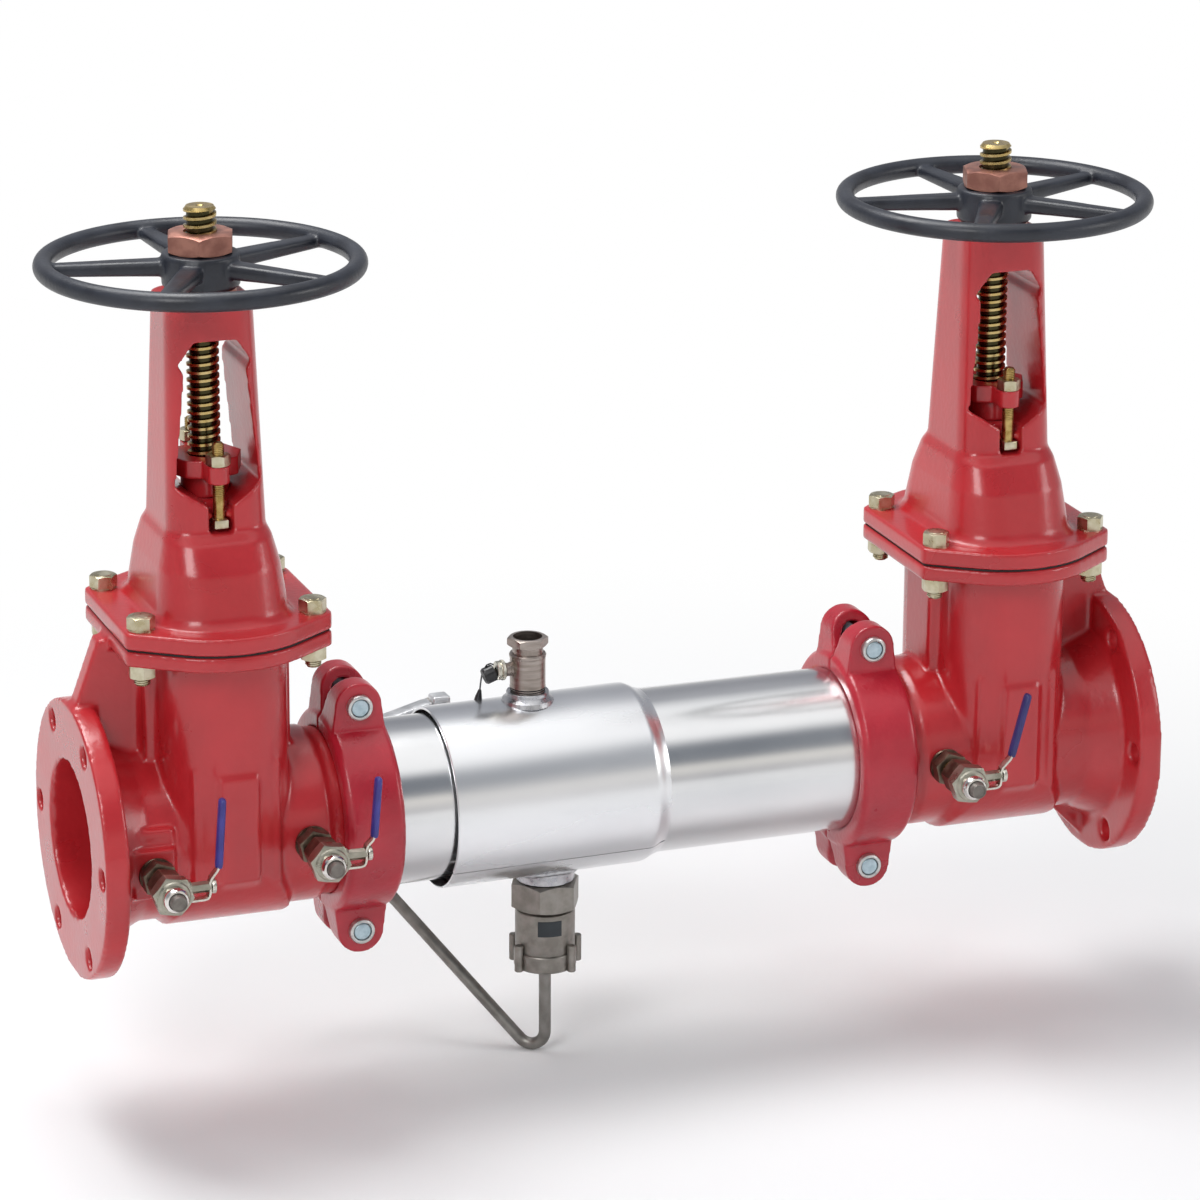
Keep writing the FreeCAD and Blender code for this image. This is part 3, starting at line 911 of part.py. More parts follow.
# Side test cocks: hex nipple, quarter-turn body with its plug, and a bent lever in a vinyl grip.
nipples, cock_bodies = [], []
for number, spot, face, high, lean in (
        (1, "tap_x", "tap_face", "tap_z", "lever_lean"),
        (2, "inner_tap_x", "barrel_width / 2", "inner_tap_z", "lever_lean"),
        (4, "overall_length - inner_tap_x", "barrel_width / 2", "inner_tap_z", "lever_lean_last")):
    here = (spot, 0, high)
    hex_end, body_from = f"({face} + nipple_length)", f"({face} + nipple_length + nipple_thread)"
    body_to = f"({body_from} + cock_body)"
    ring_to, middle = f"({body_to} + cock_ring_length)", f"({body_from} + cock_body / 2)"
    nipple = fuse(f"nipple_{number}_blank",
                  bar(f"nipple_hex_{number}", "nipple_flats", "nipple_length", (spot, f"-({face})", high), "-y"),
                  cylinder(f"nipple_thread_{number}", "tap_bore / 2", "nipple_length + nipple_thread + 12",
                           (spot, f"-({face}) + 12", high), "-y"))
    nipples.append(cut(f"nipple_{number}", nipple, cylinder(f"nipple_way_{number}", "waterway", "overall_length", here, "-y")))
    pivot = (spot, f"-{middle}", high)
    shell = fuse(f"cock_{number}_blank", bar(f"cock_hex_{number}", "cock_flats", "cock_body", (spot, f"-{body_from}", high), "-y"),
                 cylinder(f"cock_ring_{number}", "cock_ring", "cock_ring_length", (spot, f"-{body_to}", high), "-y"),
                 cylinder(f"cock_neck_{number}", "cock_stem + 4", "cock_flats / 2 + 5", pivot, "x"))
    cock_bodies += [cut(f"cock_{number}_body", shell, ball(f"cock_chamber_{number}", "cock_chamber", pivot),
                        cylinder(f"cock_way_{number}", "waterway", "cock_body + cock_ring_length",
                                 (spot, f"-{body_from}", high), "-y"),
                        cylinder(f"cock_stem_hole_{number}", "cock_stem + fit_gap", "lever_reach", pivot, "x")),
                    cylinder(f"cock_plug_{number}", "cock_plug", "cock_plug_length", (spot, f"-{ring_to}", high), "-y")]
    strap_outline = [
        (f"{spot} + lever_reach - lever_strap", f"{high} - 9"), (f"{spot} + lever_reach", f"{high} - 9"),
        (f"{spot} + lever_reach", f"{high} + 9"), (f"{spot} + lever_reach + 8", f"{high} + 21"),
        (f"{spot} + lever_reach + 8 + {lean}", f"{high} + lever_height"),
        (f"{spot} + lever_reach + 8 + {lean} - lever_strap", f"{high} + lever_height"),
        (f"{spot} + lever_reach + 8 - lever_strap", f"{high} + 22"), (f"{spot} + lever_reach - lever_strap", f"{high} + 10")]
    strap = padded(f"strap_{number}", strap_outline, f"{middle} - lever_half_width", f"{middle} + lever_half_width", "-y")
    lever = fuse(f"lever_{number}_blank", strap, ball(f"cock_ball_{number}", "cock_chamber - fit_gap", pivot),
                 cylinder(f"cock_stem_{number}", "cock_stem", "lever_reach + 5", pivot, "x"),
                 cylinder(f"stem_nut_{number}", "cock_stem + 3", 4, (f"{spot} + lever_reach", f"-{middle}", high), "x"))
    sub_part(f"test_cock_lever_{number}", cut(
        f"test_cock_lever_{number}", lever, cylinder(f"ball_way_{number}", "waterway", "cock_chamber * 2",
                                                     (spot, f"-{middle}", f"{high} - cock_chamber"))))
    grip_outline = [
        (f"{spot} + lever_reach + 8 - lever_strap - grip_wall + {lean} * 0.1", f"{high} + grip_from"),
        (f"{spot} + lever_reach + 8 + grip_wall + {lean} * 0.1", f"{high} + grip_from"),
        (f"{spot} + lever_reach + 8 + grip_wall + {lean}", f"{high} + lever_height + grip_wall"),
        (f"{spot} + lever_reach + 8 - lever_strap - grip_wall + {lean}", f"{high} + lever_height + grip_wall")]
    sleeve_grip = padded(f"grip_{number}_blank", grip_outline, f"{middle} - lever_half_width - grip_wall",
                         f"{middle} + lever_half_width + grip_wall", "-y")
    sub_part(f"test_cock_grip_{number}", cut(f"test_cock_grip_{number}", sleeve_grip, strap))
sub_part("test_cock_nipples", group("test_cock_nipples", *nipples))
sub_part("test_cock_bodies", group("test_cock_bodies", *cock_bodies))

# Metered bypass behind the housing: pipes, two ball valves, a meter and a small backflow body. The outlet
# valve's stem points down, so its lever hides behind the housing.


def bent_pipe(name, radius):
    """From the back of the inlet valve, round a bend and along to the first ball valve."""
    start = FreeCAD.Vector(value("inner_tap_x"), value("barrel_width / 2 - pipe_seat"), value("bypass_z"))
    corner = FreeCAD.Vector(start.x, value("bypass_y"), start.z)
    end = FreeCAD.Vector(value("ball_valve_x - ball_valve_half"), corner.y, corner.z)
    return bent_rod(name, radius, [start, corner, end], [value("bypass_bend")])


def straight_pipe(name, start, end):
    return ring(name, "bypass_bore / 2", "bypass_od / 2", start, end, (0, "bypass_y", "bypass_z"), "x")


SECOND_BALL_X = "(overall_length - ball_valve_x)"
inlet_pipe = cut("bypass_inlet_pipe", bent_pipe("bypass_rod", value("bypass_od / 2")), bent_pipe("bypass_bore", value("bypass_bore / 2")))
sub_part("bypass_pipes", group(
    "bypass_pipes", inlet_pipe, mirror("bypass_outlet_pipe", inlet_pipe),
    straight_pipe("pipe_to_meter", "ball_valve_x + ball_valve_half", "meter_at - meter_half"),
    straight_pipe("pipe_to_backflow", "meter_at + meter_half", "backflow_at - backflow_half"),
    straight_pipe("pipe_to_outlet", "backflow_at + backflow_half", f"{SECOND_BALL_X} - ball_valve_half")))
BYPASS = ("ball_valve_x", "bypass_y", "bypass_z")
valve_shell = cut("bypass_valve", fuse("bypass_valve_blank", turned("bypass_valve_turned", [
    (0, "-ball_valve_half"), ("ball_valve_radius - 3", "-ball_valve_half"), ("ball_valve_radius - 3", "-ball_valve_half + 14"),
    ("ball_valve_radius", "-ball_radius"), ("ball_valve_radius", "ball_radius"),
    ("ball_valve_radius - 3", "ball_valve_half - 14"), ("ball_valve_radius - 3", "ball_valve_half"),
    (0, "ball_valve_half")], BYPASS, "x"),
    cylinder("bypass_valve_neck", "cock_stem + 5", "lever_low - bypass_z - 4", BYPASS)),
    cylinder("bypass_valve_way", "bypass_bore / 2", "2 * ball_valve_half", (
        "ball_valve_x - ball_valve_half", "bypass_y", "bypass_z"), "x"),
    ball("bypass_ball_space", "ball_radius + fit_gap", BYPASS),
    cylinder("bypass_stem_hole", "cock_stem + fit_gap", "lever_low - bypass_z", BYPASS))
low_shell = mirror("bypass_low_valve", valve_shell, "bypass_z", "z")
sub_part("bypass_valve_bodies", group("bypass_valve_bodies", valve_shell, mirror("bypass_outlet_valve", low_shell)))
LEVER_TIP = "(ball_valve_x + bypass_lever)"
LEVER_HIGH = "(lever_low + lever_rise)"
bypass_strap = padded("bypass_strap", [
    ("ball_valve_x - lever_heel", "lever_low"), ("ball_valve_x + lever_flat", "lever_low"),
    (f"{LEVER_TIP} - lever_tip", LEVER_HIGH), (LEVER_TIP, LEVER_HIGH), (LEVER_TIP, f"{LEVER_HIGH} + bypass_strap"),
    (f"{LEVER_TIP} - lever_tip", f"{LEVER_HIGH} + bypass_strap"),
    ("ball_valve_x + lever_flat", "lever_low + bypass_strap"),
    ("ball_valve_x - lever_heel", "lever_low + bypass_strap")],
    "-bypass_y - bypass_lever_width / 2", "-bypass_y + bypass_lever_width / 2", "-y")
end_block = block(
    "lever_end", (f"{LEVER_TIP} - lever_tip", "bypass_y - bypass_lever_width / 2", f"{LEVER_HIGH} - lever_block"),
    (LEVER_TIP, "bypass_y + bypass_lever_width / 2", f"{LEVER_HIGH} + bypass_strap"))
bypass_lever = sub_part("bypass_inlet_lever", cut(
    "bypass_inlet_lever", fuse("bypass_lever_blank", bypass_strap, end_block, ball("bypass_ball", "ball_radius", BYPASS),
                               cylinder("bypass_stem", "cock_stem", "lever_low - bypass_z + bypass_strap + 4", BYPASS)),
    cylinder("bypass_ball_way", "bypass_bore / 2", "2 * ball_radius", ("ball_valve_x - ball_radius", "bypass_y", "bypass_z"), "x")))
low_lever = mirror("bypass_low_lever", bypass_lever, "bypass_z", "z")
sub_part("bypass_outlet_lever", mirror("bypass_outlet_lever", low_lever))
METER = ("meter_at", "bypass_y", "bypass_z")
sub_part("bypass_meter", cut("bypass_meter", turned("meter_turned", [
    (0, "-meter_half"), ("bypass_od / 2 + 5", "-meter_half"), ("bypass_od / 2 + 5", "-meter_half + 16"),
    ("meter_radius", "-meter_half + 30"), ("meter_radius", "meter_half - 30"), ("bypass_od / 2 + 5", "meter_half - 16"),
    ("bypass_od / 2 + 5", "meter_half"), (0, "meter_half")], METER, "x"),
    cylinder("meter_way", "bypass_bore / 2", "2 * meter_half", ("meter_at - meter_half", "bypass_y", "bypass_z"), "x"),
    cylinder("register_seat", "register_radius", "meter_radius", ("meter_at", "bypass_y", "bypass_z + meter_radius - 6"))))
sub_part("bypass_register", cylinder("bypass_register", "register_radius", "register_top - bypass_z - meter_radius + 6",
                                     ("meter_at", "bypass_y", "bypass_z + meter_radius - 6")))
sub_part("bypass_backflow", cut("bypass_backflow", turned("backflow_turned", [
    (0, "-backflow_half"), ("bypass_od / 2 + 5", "-backflow_half"), ("bypass_od / 2 + 5", "-backflow_half + 12"),
    ("backflow_radius", "-backflow_half + 22"), ("backflow_radius", "backflow_half - 22"),
    ("bypass_od / 2 + 5", "backflow_half - 12"), ("bypass_od / 2 + 5", "backflow_half"), (0, "backflow_half")],
    ("backflow_at", "bypass_y", "bypass_z"), "x"),
    cylinder("backflow_way", "bypass_bore / 2", "2 * backflow_half", ("backflow_at - backflow_half", "bypass_y", "bypass_z"), "x")))

doc.recompute()
for thing in doc.Objects:
    if "Invalid" in thing.State or "Error" in thing.State:
        raise RuntimeError(f"{thing.Label} failed: {thing.State}")
for thing in sub_parts:
    if thing.Shape.isNull() or not thing.Shape.isValid() or not thing.Shape.Solids:
        raise RuntimeError(f"{thing.Label} has no valid solid")
for thing in sub_parts:
    thing.Shape.exportStep(f"parts/{thing.Label}.step")
print(len(sub_parts), "sub-parts written")
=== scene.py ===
import math

import bmesh
import bpy
from mathutils import Matrix, Quaternion, Vector


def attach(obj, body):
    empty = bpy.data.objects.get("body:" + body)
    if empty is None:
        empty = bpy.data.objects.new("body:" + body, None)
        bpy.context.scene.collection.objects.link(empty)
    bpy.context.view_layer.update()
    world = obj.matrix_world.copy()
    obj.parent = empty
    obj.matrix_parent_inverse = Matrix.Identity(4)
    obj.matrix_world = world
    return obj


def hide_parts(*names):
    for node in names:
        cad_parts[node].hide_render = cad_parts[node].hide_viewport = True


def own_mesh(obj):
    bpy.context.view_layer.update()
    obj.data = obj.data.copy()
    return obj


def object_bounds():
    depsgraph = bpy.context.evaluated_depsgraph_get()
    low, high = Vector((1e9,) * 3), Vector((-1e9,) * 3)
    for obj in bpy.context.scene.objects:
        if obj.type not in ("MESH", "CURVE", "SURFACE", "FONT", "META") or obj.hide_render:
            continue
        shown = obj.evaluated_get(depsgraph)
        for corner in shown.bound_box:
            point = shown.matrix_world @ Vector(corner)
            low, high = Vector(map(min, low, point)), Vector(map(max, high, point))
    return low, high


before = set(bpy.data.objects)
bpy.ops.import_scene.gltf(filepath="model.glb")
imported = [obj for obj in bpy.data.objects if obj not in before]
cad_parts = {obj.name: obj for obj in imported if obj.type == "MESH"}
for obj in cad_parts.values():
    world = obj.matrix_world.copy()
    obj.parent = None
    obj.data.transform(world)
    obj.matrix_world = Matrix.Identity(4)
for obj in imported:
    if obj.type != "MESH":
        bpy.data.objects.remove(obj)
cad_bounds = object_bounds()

# Valve bodies: two iron gate valve castings, each flanged at one end and grooved at the other.
# They come out of the sand mould with every corner rounded, and are coated all over in glossy
# red enamel, which runs a little in the corners. The wording cast on the neck is left off.


def coat(name, tones, roughness, metallic=0.0, grain=40.0, stretch=(1, 1, 1), bump=0.0002, bump_grain=300.0,
         gloss_coat=0.0, coat_roughness=0.1, patch=(0.35, 0.65), specular=0.5):
    """A finish whose tone and gloss wander over the surface, with a fine unevenness of a given height."""
    material = bpy.data.materials.new(name)
    material.use_nodes = True
    nodes, links = material.node_tree.nodes, material.node_tree.links
    shader = nodes["Principled BSDF"]
    for socket, amount in (("Metallic", metallic), ("Coat Weight", gloss_coat), ("Coat Roughness", coat_roughness),
                           ("Specular IOR Level", specular)):
        shader.inputs[socket].default_value = amount
    where = nodes.new("ShaderNodeTexCoord")
    mapping = nodes.new("ShaderNodeMapping")
    mapping.inputs["Scale"].default_value = stretch
    links.new(where.outputs["Object"], mapping.inputs["Vector"])
    wander = nodes.new("ShaderNodeTexNoise")
    wander.inputs["Scale"].default_value = grain
    wander.inputs["Detail"].default_value = 5
    links.new(mapping.outputs[0], wander.inputs["Vector"])
    ramp = nodes.new("ShaderNodeValToRGB")
    for element, position, tone in zip(ramp.color_ramp.elements, patch, tones):
        element.position = position
        element.color = (*tone, 1)
    links.new(wander.outputs[0], ramp.inputs[0])
    links.new(ramp.outputs[0], shader.inputs["Base Color"])
    gloss = nodes.new("ShaderNodeMapRange")
    gloss.inputs["From Min"].default_value, gloss.inputs["From Max"].default_value = patch
    gloss.inputs["To Min"].default_value, gloss.inputs["To Max"].default_value = roughness
    links.new(wander.outputs[0], gloss.inputs[0])
    links.new(gloss.outputs[0], shader.inputs["Roughness"])
    fine = nodes.new("ShaderNodeTexNoise")
    fine.inputs["Scale"].default_value = bump_grain
    fine.inputs["Detail"].default_value = 3
    links.new(mapping.outputs[0], fine.inputs["Vector"])
    uneven = nodes.new("ShaderNodeBump")
    uneven.inputs["Strength"].default_value = 1
    uneven.inputs["Distance"].default_value = bump
    links.new(fine.outputs[0], uneven.inputs["Height"])
    links.new(uneven.outputs[0], shader.inputs["Normal"])
    return material


def show(name, mesh, finish, body, slot, *nodes, sharp=None):
    """Put a finished mesh in the scene: it rides on a body and stands for the named nodes."""
    mesh.name = name
    mesh.materials.clear()
    mesh.materials.append(finish)
    mesh.shade_smooth()
    if sharp:
        mesh.set_sharp_from_angle(angle=math.radians(sharp))
    piece = bpy.data.objects.new(name, mesh)
    bpy.context.scene.collection.objects.link(piece)
    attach(piece, body)
    if nodes:
        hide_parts(*nodes)
    return piece


def sand_cast(node, grain, rounding):
    """A node's form as a casting: its corners rounded, in even faces of a given size."""
    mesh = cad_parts[node].data.copy()
    bm = bmesh.new()
    bm.from_mesh(mesh)
    bmesh.ops.remove_doubles(bm, verts=bm.verts, dist=1e-6)
    bm.to_mesh(mesh)
    bm.free()
    pattern = bpy.data.objects.new(node + "_pattern", mesh)
    bpy.context.scene.collection.objects.link(pattern)
    remesh = pattern.modifiers.new("grain", "REMESH")
    remesh.mode = "VOXEL"
    remesh.voxel_size = grain
    ease = pattern.modifiers.new("rounding", "SMOOTH")
    ease.factor = 0.5
    ease.iterations = rounding
    cast = bpy.data.meshes.new_from_object(pattern.evaluated_get(bpy.context.evaluated_depsgraph_get()))
    bpy.data.objects.remove(pattern)
    return cast


red_enamel = coat("red_enamel", ((0.46, 0.016, 0.022), (0.52, 0.021, 0.028)), (0.27, 0.33), grain=14.0,
                  bump=0.00024, bump_grain=150.0, gloss_coat=0.35, coat_roughness=0.14)
for side in ("inlet", "outlet"):
    show(f"{side}_body_casting", sand_cast(f"{side}_valve_body", 0.0028, 5), red_enamel, "assembly", "red_enamel",
         f"{side}_valve_body")

# Bonnets: the upper iron casting of each valve, with the packing box and the two-legged yoke that
# carries the handwheel. Cast and enamelled like the bodies, finer in its window and bolt slots.
for side in ("inlet", "outlet"):
    show(f"{side}_bonnet_casting", sand_cast(f"{side}_bonnet", 0.0021, 5), red_enamel, "assembly", "red_enamel",
         f"{side}_bonnet")

# Bonnet gaskets: a sheet of black rubber cut to the flange, clamped in the joint between body and
# bonnet by the four bolts, and seen from outside as a dark line.
rubber = coat("seal_rubber", ((0.012, 0.012, 0.013), (0.028, 0.027, 0.027)), (0.7, 0.9), grain=120.0,
              bump=0.0001, bump_grain=900.0)


def finish_nodes(finish, slot, *nodes):
    """Give the nodes that stay as they are their finish."""
    for node in nodes:
        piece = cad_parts[node]
        piece.data.materials.clear()
        piece.data.materials.append(finish)


finish_nodes(rubber, "seal_rubber", "bonnet_gaskets")

# Bonnet bolts: four steel bolts with nuts in each joint, zinc plated and passivated yellow.
# The heads are forged hexagons, their corners turned off, and the threaded tails show below.
FLAT_TURN = math.pi / 6


def turned(bm, profile, steps=48):
    """Turn a profile of (radius, height) about the upright axis and return the new vertices."""
    points = [bm.verts.new((radius, 0, height)) for radius, height in profile]
    on_axis = profile[0][0] == 0 and profile[-1][0] == 0
    pairs = list(zip(points, points[1:])) + ([] if on_axis else [(points[-1], points[0])])
    edges = [bm.edges.new(pair) for pair in pairs]
    before = set(bm.verts) - set(points)
    bmesh.ops.spin(bm, geom=points + edges, cent=(0, 0, 0), axis=(0, 0, 1), angle=2 * math.pi, steps=steps,
                   use_merge=True)
    fresh = [v for v in bm.verts if v not in before]
    bmesh.ops.remove_doubles(bm, verts=fresh, dist=1e-6)
    fresh = [v for v in bm.verts if v not in before]
    own = set(fresh)
    bmesh.ops.recalc_face_normals(bm, faces=[f for f in bm.faces if f.verts[0] in own])
    return fresh


def planed(bm, profile, flats, turn=0.0, steps=48):
    """Turn a profile and plane six flats on it, so that the corners keep their turned chamfer."""
    one = bmesh.new()
    turned(one, profile, steps)
    for side in range(6):
        way = Vector((math.cos(turn + side * 2 * FLAT_TURN), math.sin(turn + side * 2 * FLAT_TURN), 0))
        bmesh.ops.bisect_plane(one, geom=one.verts[:] + one.edges[:] + one.faces[:], dist=1e-7,
                               plane_co=way * flats / 2, plane_no=way, clear_outer=True)
        bmesh.ops.holes_fill(one, edges=[e for e in one.edges if e.is_boundary])
    bmesh.ops.recalc_face_normals(one, faces=one.faces)
    mesh = bpy.data.meshes.new("planed")
    one.to_mesh(mesh)
    one.free()
    bm.from_mesh(mesh)
    bpy.data.meshes.remove(mesh)


def hexagon(bm, flats, low, high, bore=0.0, turn=0.0, top=True, bottom=True):
    """A hexagon bar between two heights with turned corners, bored if a radius is given."""
    corner = flats / 2 / math.cos(FLAT_TURN)
    fall = (corner - flats / 2) * 0.6
    outside = [(flats / 2 * 0.97, low), (corner, low + fall)] if bottom else [(corner, low)]
    outside += [(corner, high - fall), (flats / 2 * 0.97, high)] if top else [(corner, high)]
    profile = [(bore, low), *outside, (bore, high)]
    planed(bm, profile, flats, turn)


def thread(bm, crest, root, pitch, low, high, steps=24):
    """A screw thread between two heights: its section spun up the rod, then cut off square."""
    one = bmesh.new()
    start = low - pitch
    section = [(crest, 0), (crest, 0.32), (root, 0.46), (root, 0.86), (crest, 1)]
    points = [one.verts.new((radius, 0, start + share * pitch)) for radius, share in section]
    edges = [one.edges.new(pair) for pair in zip(points, points[1:])]
    turns = math.ceil((high - low) / pitch) + 2
    bmesh.ops.spin(one, geom=points + edges, cent=(0, 0, 0), axis=(0, 0, 1), angle=2 * math.pi * turns,
                   steps=steps * turns, dvec=(0, 0, pitch / steps))
    bmesh.ops.remove_doubles(one, verts=one.verts, dist=pitch * 0.01)
    for height, way in ((low, -1), (high, 1)):
        bmesh.ops.bisect_plane(one, geom=one.verts[:] + one.edges[:] + one.faces[:], dist=1e-7,
                               plane_co=(0, 0, height), plane_no=(0, 0, way), clear_outer=True)
        bmesh.ops.holes_fill(one, edges=[e for e in one.edges if e.is_boundary])
    bmesh.ops.recalc_face_normals(one, faces=one.faces)
    mesh = bpy.data.meshes.new("thread")
    one.to_mesh(mesh)
    one.free()
    bm.from_mesh(mesh)
    bpy.data.meshes.remove(mesh)


def repeated(bm, places=(Matrix(),)):
    """One mesh that holds the piece at each of the places, or just where it is."""
    one = bpy.data.meshes.new("one")
    bm.to_mesh(one)
    bm.clear()
    for place in places:
        copy = one.copy()
        copy.transform(place)
        bm.from_mesh(copy)
        bpy.data.meshes.remove(copy)
    bpy.data.meshes.remove(one)
    mesh = bpy.data.meshes.new("many")
    bm.to_mesh(mesh)
    bm.free()
    return mesh


def both(places):
    """The same places at the inlet and, mirrored, at the outlet."""
    return [Matrix.Translation((LENGTH - at.x if far else at.x, at.y, at.z))
            for far in (False, True) for at in places]


LENGTH = 1.12
VALVE_X = 0.144
COVER_TOP, FLANGE_UNDER, BOLT_OUT, BOLT_ASIDE = 0.232, 0.198, 0.086, 0.070
HEAD, HEAD_FLATS, BOLT, BOLT_ROOT, WASHER = 0.014, 0.024, 0.008, 0.0069, 0.0015
TAIL = FLANGE_UNDER - HEAD - 0.0065
yellow_zinc = coat("zinc_steel", ((0.42, 0.36, 0.22), (0.62, 0.58, 0.44)), (0.25, 0.4), metallic=1.0, grain=90.0,
                   bump=0.00008, bump_grain=700.0)
bm = bmesh.new()
turned(bm, [(0, COVER_TOP), (HEAD_FLATS / 2 + 0.001, COVER_TOP), (HEAD_FLATS / 2 + 0.001, COVER_TOP + WASHER),
            (0, COVER_TOP + WASHER)])
hexagon(bm, HEAD_FLATS, COVER_TOP + WASHER, COVER_TOP + HEAD, turn=0.4, bottom=False)
turned(bm, [(0, COVER_TOP + HEAD - 0.002), (HEAD_FLATS * 0.38, COVER_TOP + HEAD - 0.002),
            (HEAD_FLATS * 0.34, COVER_TOP + HEAD + 0.0005), (0, COVER_TOP + HEAD + 0.0006)])
hexagon(bm, HEAD_FLATS, FLANGE_UNDER - HEAD, FLANGE_UNDER, turn=0.9)
thread(bm, BOLT, BOLT_ROOT, 0.002, TAIL, FLANGE_UNDER - HEAD + 0.002, steps=20)
turned(bm, [(0, TAIL - 0.0015), (BOLT - 0.002, TAIL - 0.0015), (BOLT_ROOT, TAIL), (0, TAIL)], 20)
turned(bm, [(0, FLANGE_UNDER - 0.001), (BOLT, FLANGE_UNDER - 0.001), (BOLT, COVER_TOP + 0.001),
            (0, COVER_TOP + 0.001)])
corners = both([Vector((VALVE_X + x * BOLT_OUT, y * BOLT_ASIDE, 0)) for x in (1, -1) for y in (1, -1)])
show("bonnet_joint_bolts", repeated(bm, corners), yellow_zinc, "assembly", "zinc_steel", "bonnet_bolts", sharp=30)

# Stem packings: rings of graphite yarn round the stem, pressed into the packing box by the gland
# and out of sight there.
finish_nodes(rubber, "seal_rubber", "stem_packings")

# Gland followers: an eight-sided iron plate with two ears that presses the packing down.
# Cast and enamelled like the bonnet.
for side in ("inlet", "outlet"):
    show(f"{side}_gland_casting", sand_cast(f"{side}_gland_follower", 0.0012, 3), red_enamel, "assembly",
         "red_enamel", f"{side}_gland_follower")

# Gland bolts: a T-head bolt in each slot of the packing box, with a brass-coloured threaded shank,
# and a plated hexagon nut that rests on the gland's ear.
GLAND_Y, TEE_LOW, GLAND_TOP, GLAND_BOLT, SHANK_TOP = 0.048, 0.320, 0.382, 0.006, 0.405
TEE, GLAND_NUT, GLAND_NUT_FLATS = (0.0144, 0.019, 0.009), 0.011, 0.021
gold_zinc = coat("gland_brass", ((0.33, 0.22, 0.07), (0.55, 0.40, 0.16)), (0.25, 0.42), metallic=1.0, grain=140.0,
                 bump=0.00006, bump_grain=900.0)
bm = bmesh.new()
thread(bm, GLAND_BOLT, GLAND_BOLT - 0.0008, 0.0018, TEE_LOW + 0.03, SHANK_TOP - 0.0015, steps=20)
turned(bm, [(0, SHANK_TOP - 0.0015), (GLAND_BOLT - 0.0008, SHANK_TOP - 0.0015),
            (GLAND_BOLT - 0.002, SHANK_TOP), (0, SHANK_TOP)], 24)
turned(bm, [(0, TEE_LOW + 0.006), (GLAND_BOLT - 0.0003, TEE_LOW + 0.006), (GLAND_BOLT - 0.0003, TEE_LOW + 0.031),
            (0, TEE_LOW + 0.031)], 24)
gland_places = both([Vector((VALVE_X, y * GLAND_Y, 0)) for y in (1, -1)])
show("gland_bolt_shanks", repeated(bm, gland_places), gold_zinc, "assembly", "zinc_steel", sharp=30)
bm = bmesh.new()
hexagon(bm, GLAND_NUT_FLATS, GLAND_TOP, GLAND_TOP + GLAND_NUT, bore=GLAND_BOLT - 0.0009, turn=0.25)
tee = bmesh.ops.create_cube(bm, size=1, matrix=Matrix.LocRotScale((0, 0, TEE_LOW + TEE[2] / 2), None, TEE))
bmesh.ops.bevel(bm, geom=[e for e in bm.edges if all(v in tee["verts"] for v in e.verts)], offset=0.0015,
                offset_type="OFFSET", segments=2, profile=0.5, material=-1, affect="EDGES")
show("gland_bolt_nuts", repeated(bm, gland_places), yellow_zinc, "assembly", "zinc_steel", "gland_bolts", sharp=30)

# Rising stems: turned from brass bar, with a coarse square-cut thread that runs up through the
# wheel, its grooves darkened with painted shade. The plain foot and its button hang in the wedge.
STEM_TOP, CREST, ROOT, PITCH, THREAD_FOOT = 0.627, 0.016, 0.0132, 0.008, 0.21


def brass_of_stem():
    """Brass whose grooves, marked by the mesh's own groove value, are darkened with painted shade."""
    material = coat("stem_brass", ((0.50, 0.36, 0.13), (0.64, 0.50, 0.24)), (0.22, 0.36), metallic=1.0, grain=110.0,
                    bump=0.0001, bump_grain=500.0)
    nodes, links = material.node_tree.nodes, material.node_tree.links
    shader = nodes["Principled BSDF"]
    tone = shader.inputs["Base Color"].links[0].from_socket
    groove = nodes.new("ShaderNodeAttribute")
    groove.attribute_name = "groove"
    # Painted shade: the thread's grooves are mixed towards a near-black brown, darker the deeper they lie.
    groove_shade = nodes.new("ShaderNodeMix")
    groove_shade.data_type = "RGBA"
    links.new(groove.outputs["Fac"], groove_shade.inputs["Factor"])
    links.new(tone, groove_shade.inputs[6])
    groove_shade.inputs[7].default_value = (0.055, 0.048, 0.022, 1)
    links.new(groove_shade.outputs[2], shader.inputs["Base Color"])
    return material


stem_brass = brass_of_stem()
for side, x in (("inlet", VALVE_X), ("outlet", LENGTH - VALVE_X)):
    bm = bmesh.new()
    thread(bm, CREST, ROOT, PITCH, THREAD_FOOT, STEM_TOP - 0.003, steps=28)
    turned(bm, [(0, 0.084), (0.02, 0.084), (0.02, 0.094), (0.012, 0.094), (0.012, 0.104), (0.022, 0.104),
                (0.022, 0.112), (CREST, 0.112), (CREST, THREAD_FOOT), (0, THREAD_FOOT)])
    turned(bm, [(0, STEM_TOP - 0.003), (CREST - 0.0004, STEM_TOP - 0.003), (CREST - 0.0025, STEM_TOP),
                (0.004, STEM_TOP), (0.0015, STEM_TOP - 0.0025), (0, STEM_TOP - 0.0025)])
    rod = repeated(bm, [Matrix.Translation((x, 0, 0))])
    # The groove value rises with depth below the crest, and sets how much painted shade each point gets.
    shade_depth = rod.attributes.new("groove", "FLOAT", "POINT")
    for vertex, shade_share in zip(rod.vertices, shade_depth.data):
        radius = math.hypot(vertex.co.x - x, vertex.co.y)
        in_thread = THREAD_FOOT + 0.001 < vertex.co.z < STEM_TOP - 0.0035
        shade_share.value = min(1, max(0, (CREST - 0.0003 - radius) / 0.0022)) if in_thread else 0
    show(f"{side}_threaded_stem", rod, stem_brass, f"{side}_gate", "stem_brass", f"{side}_stem", sharp=35)

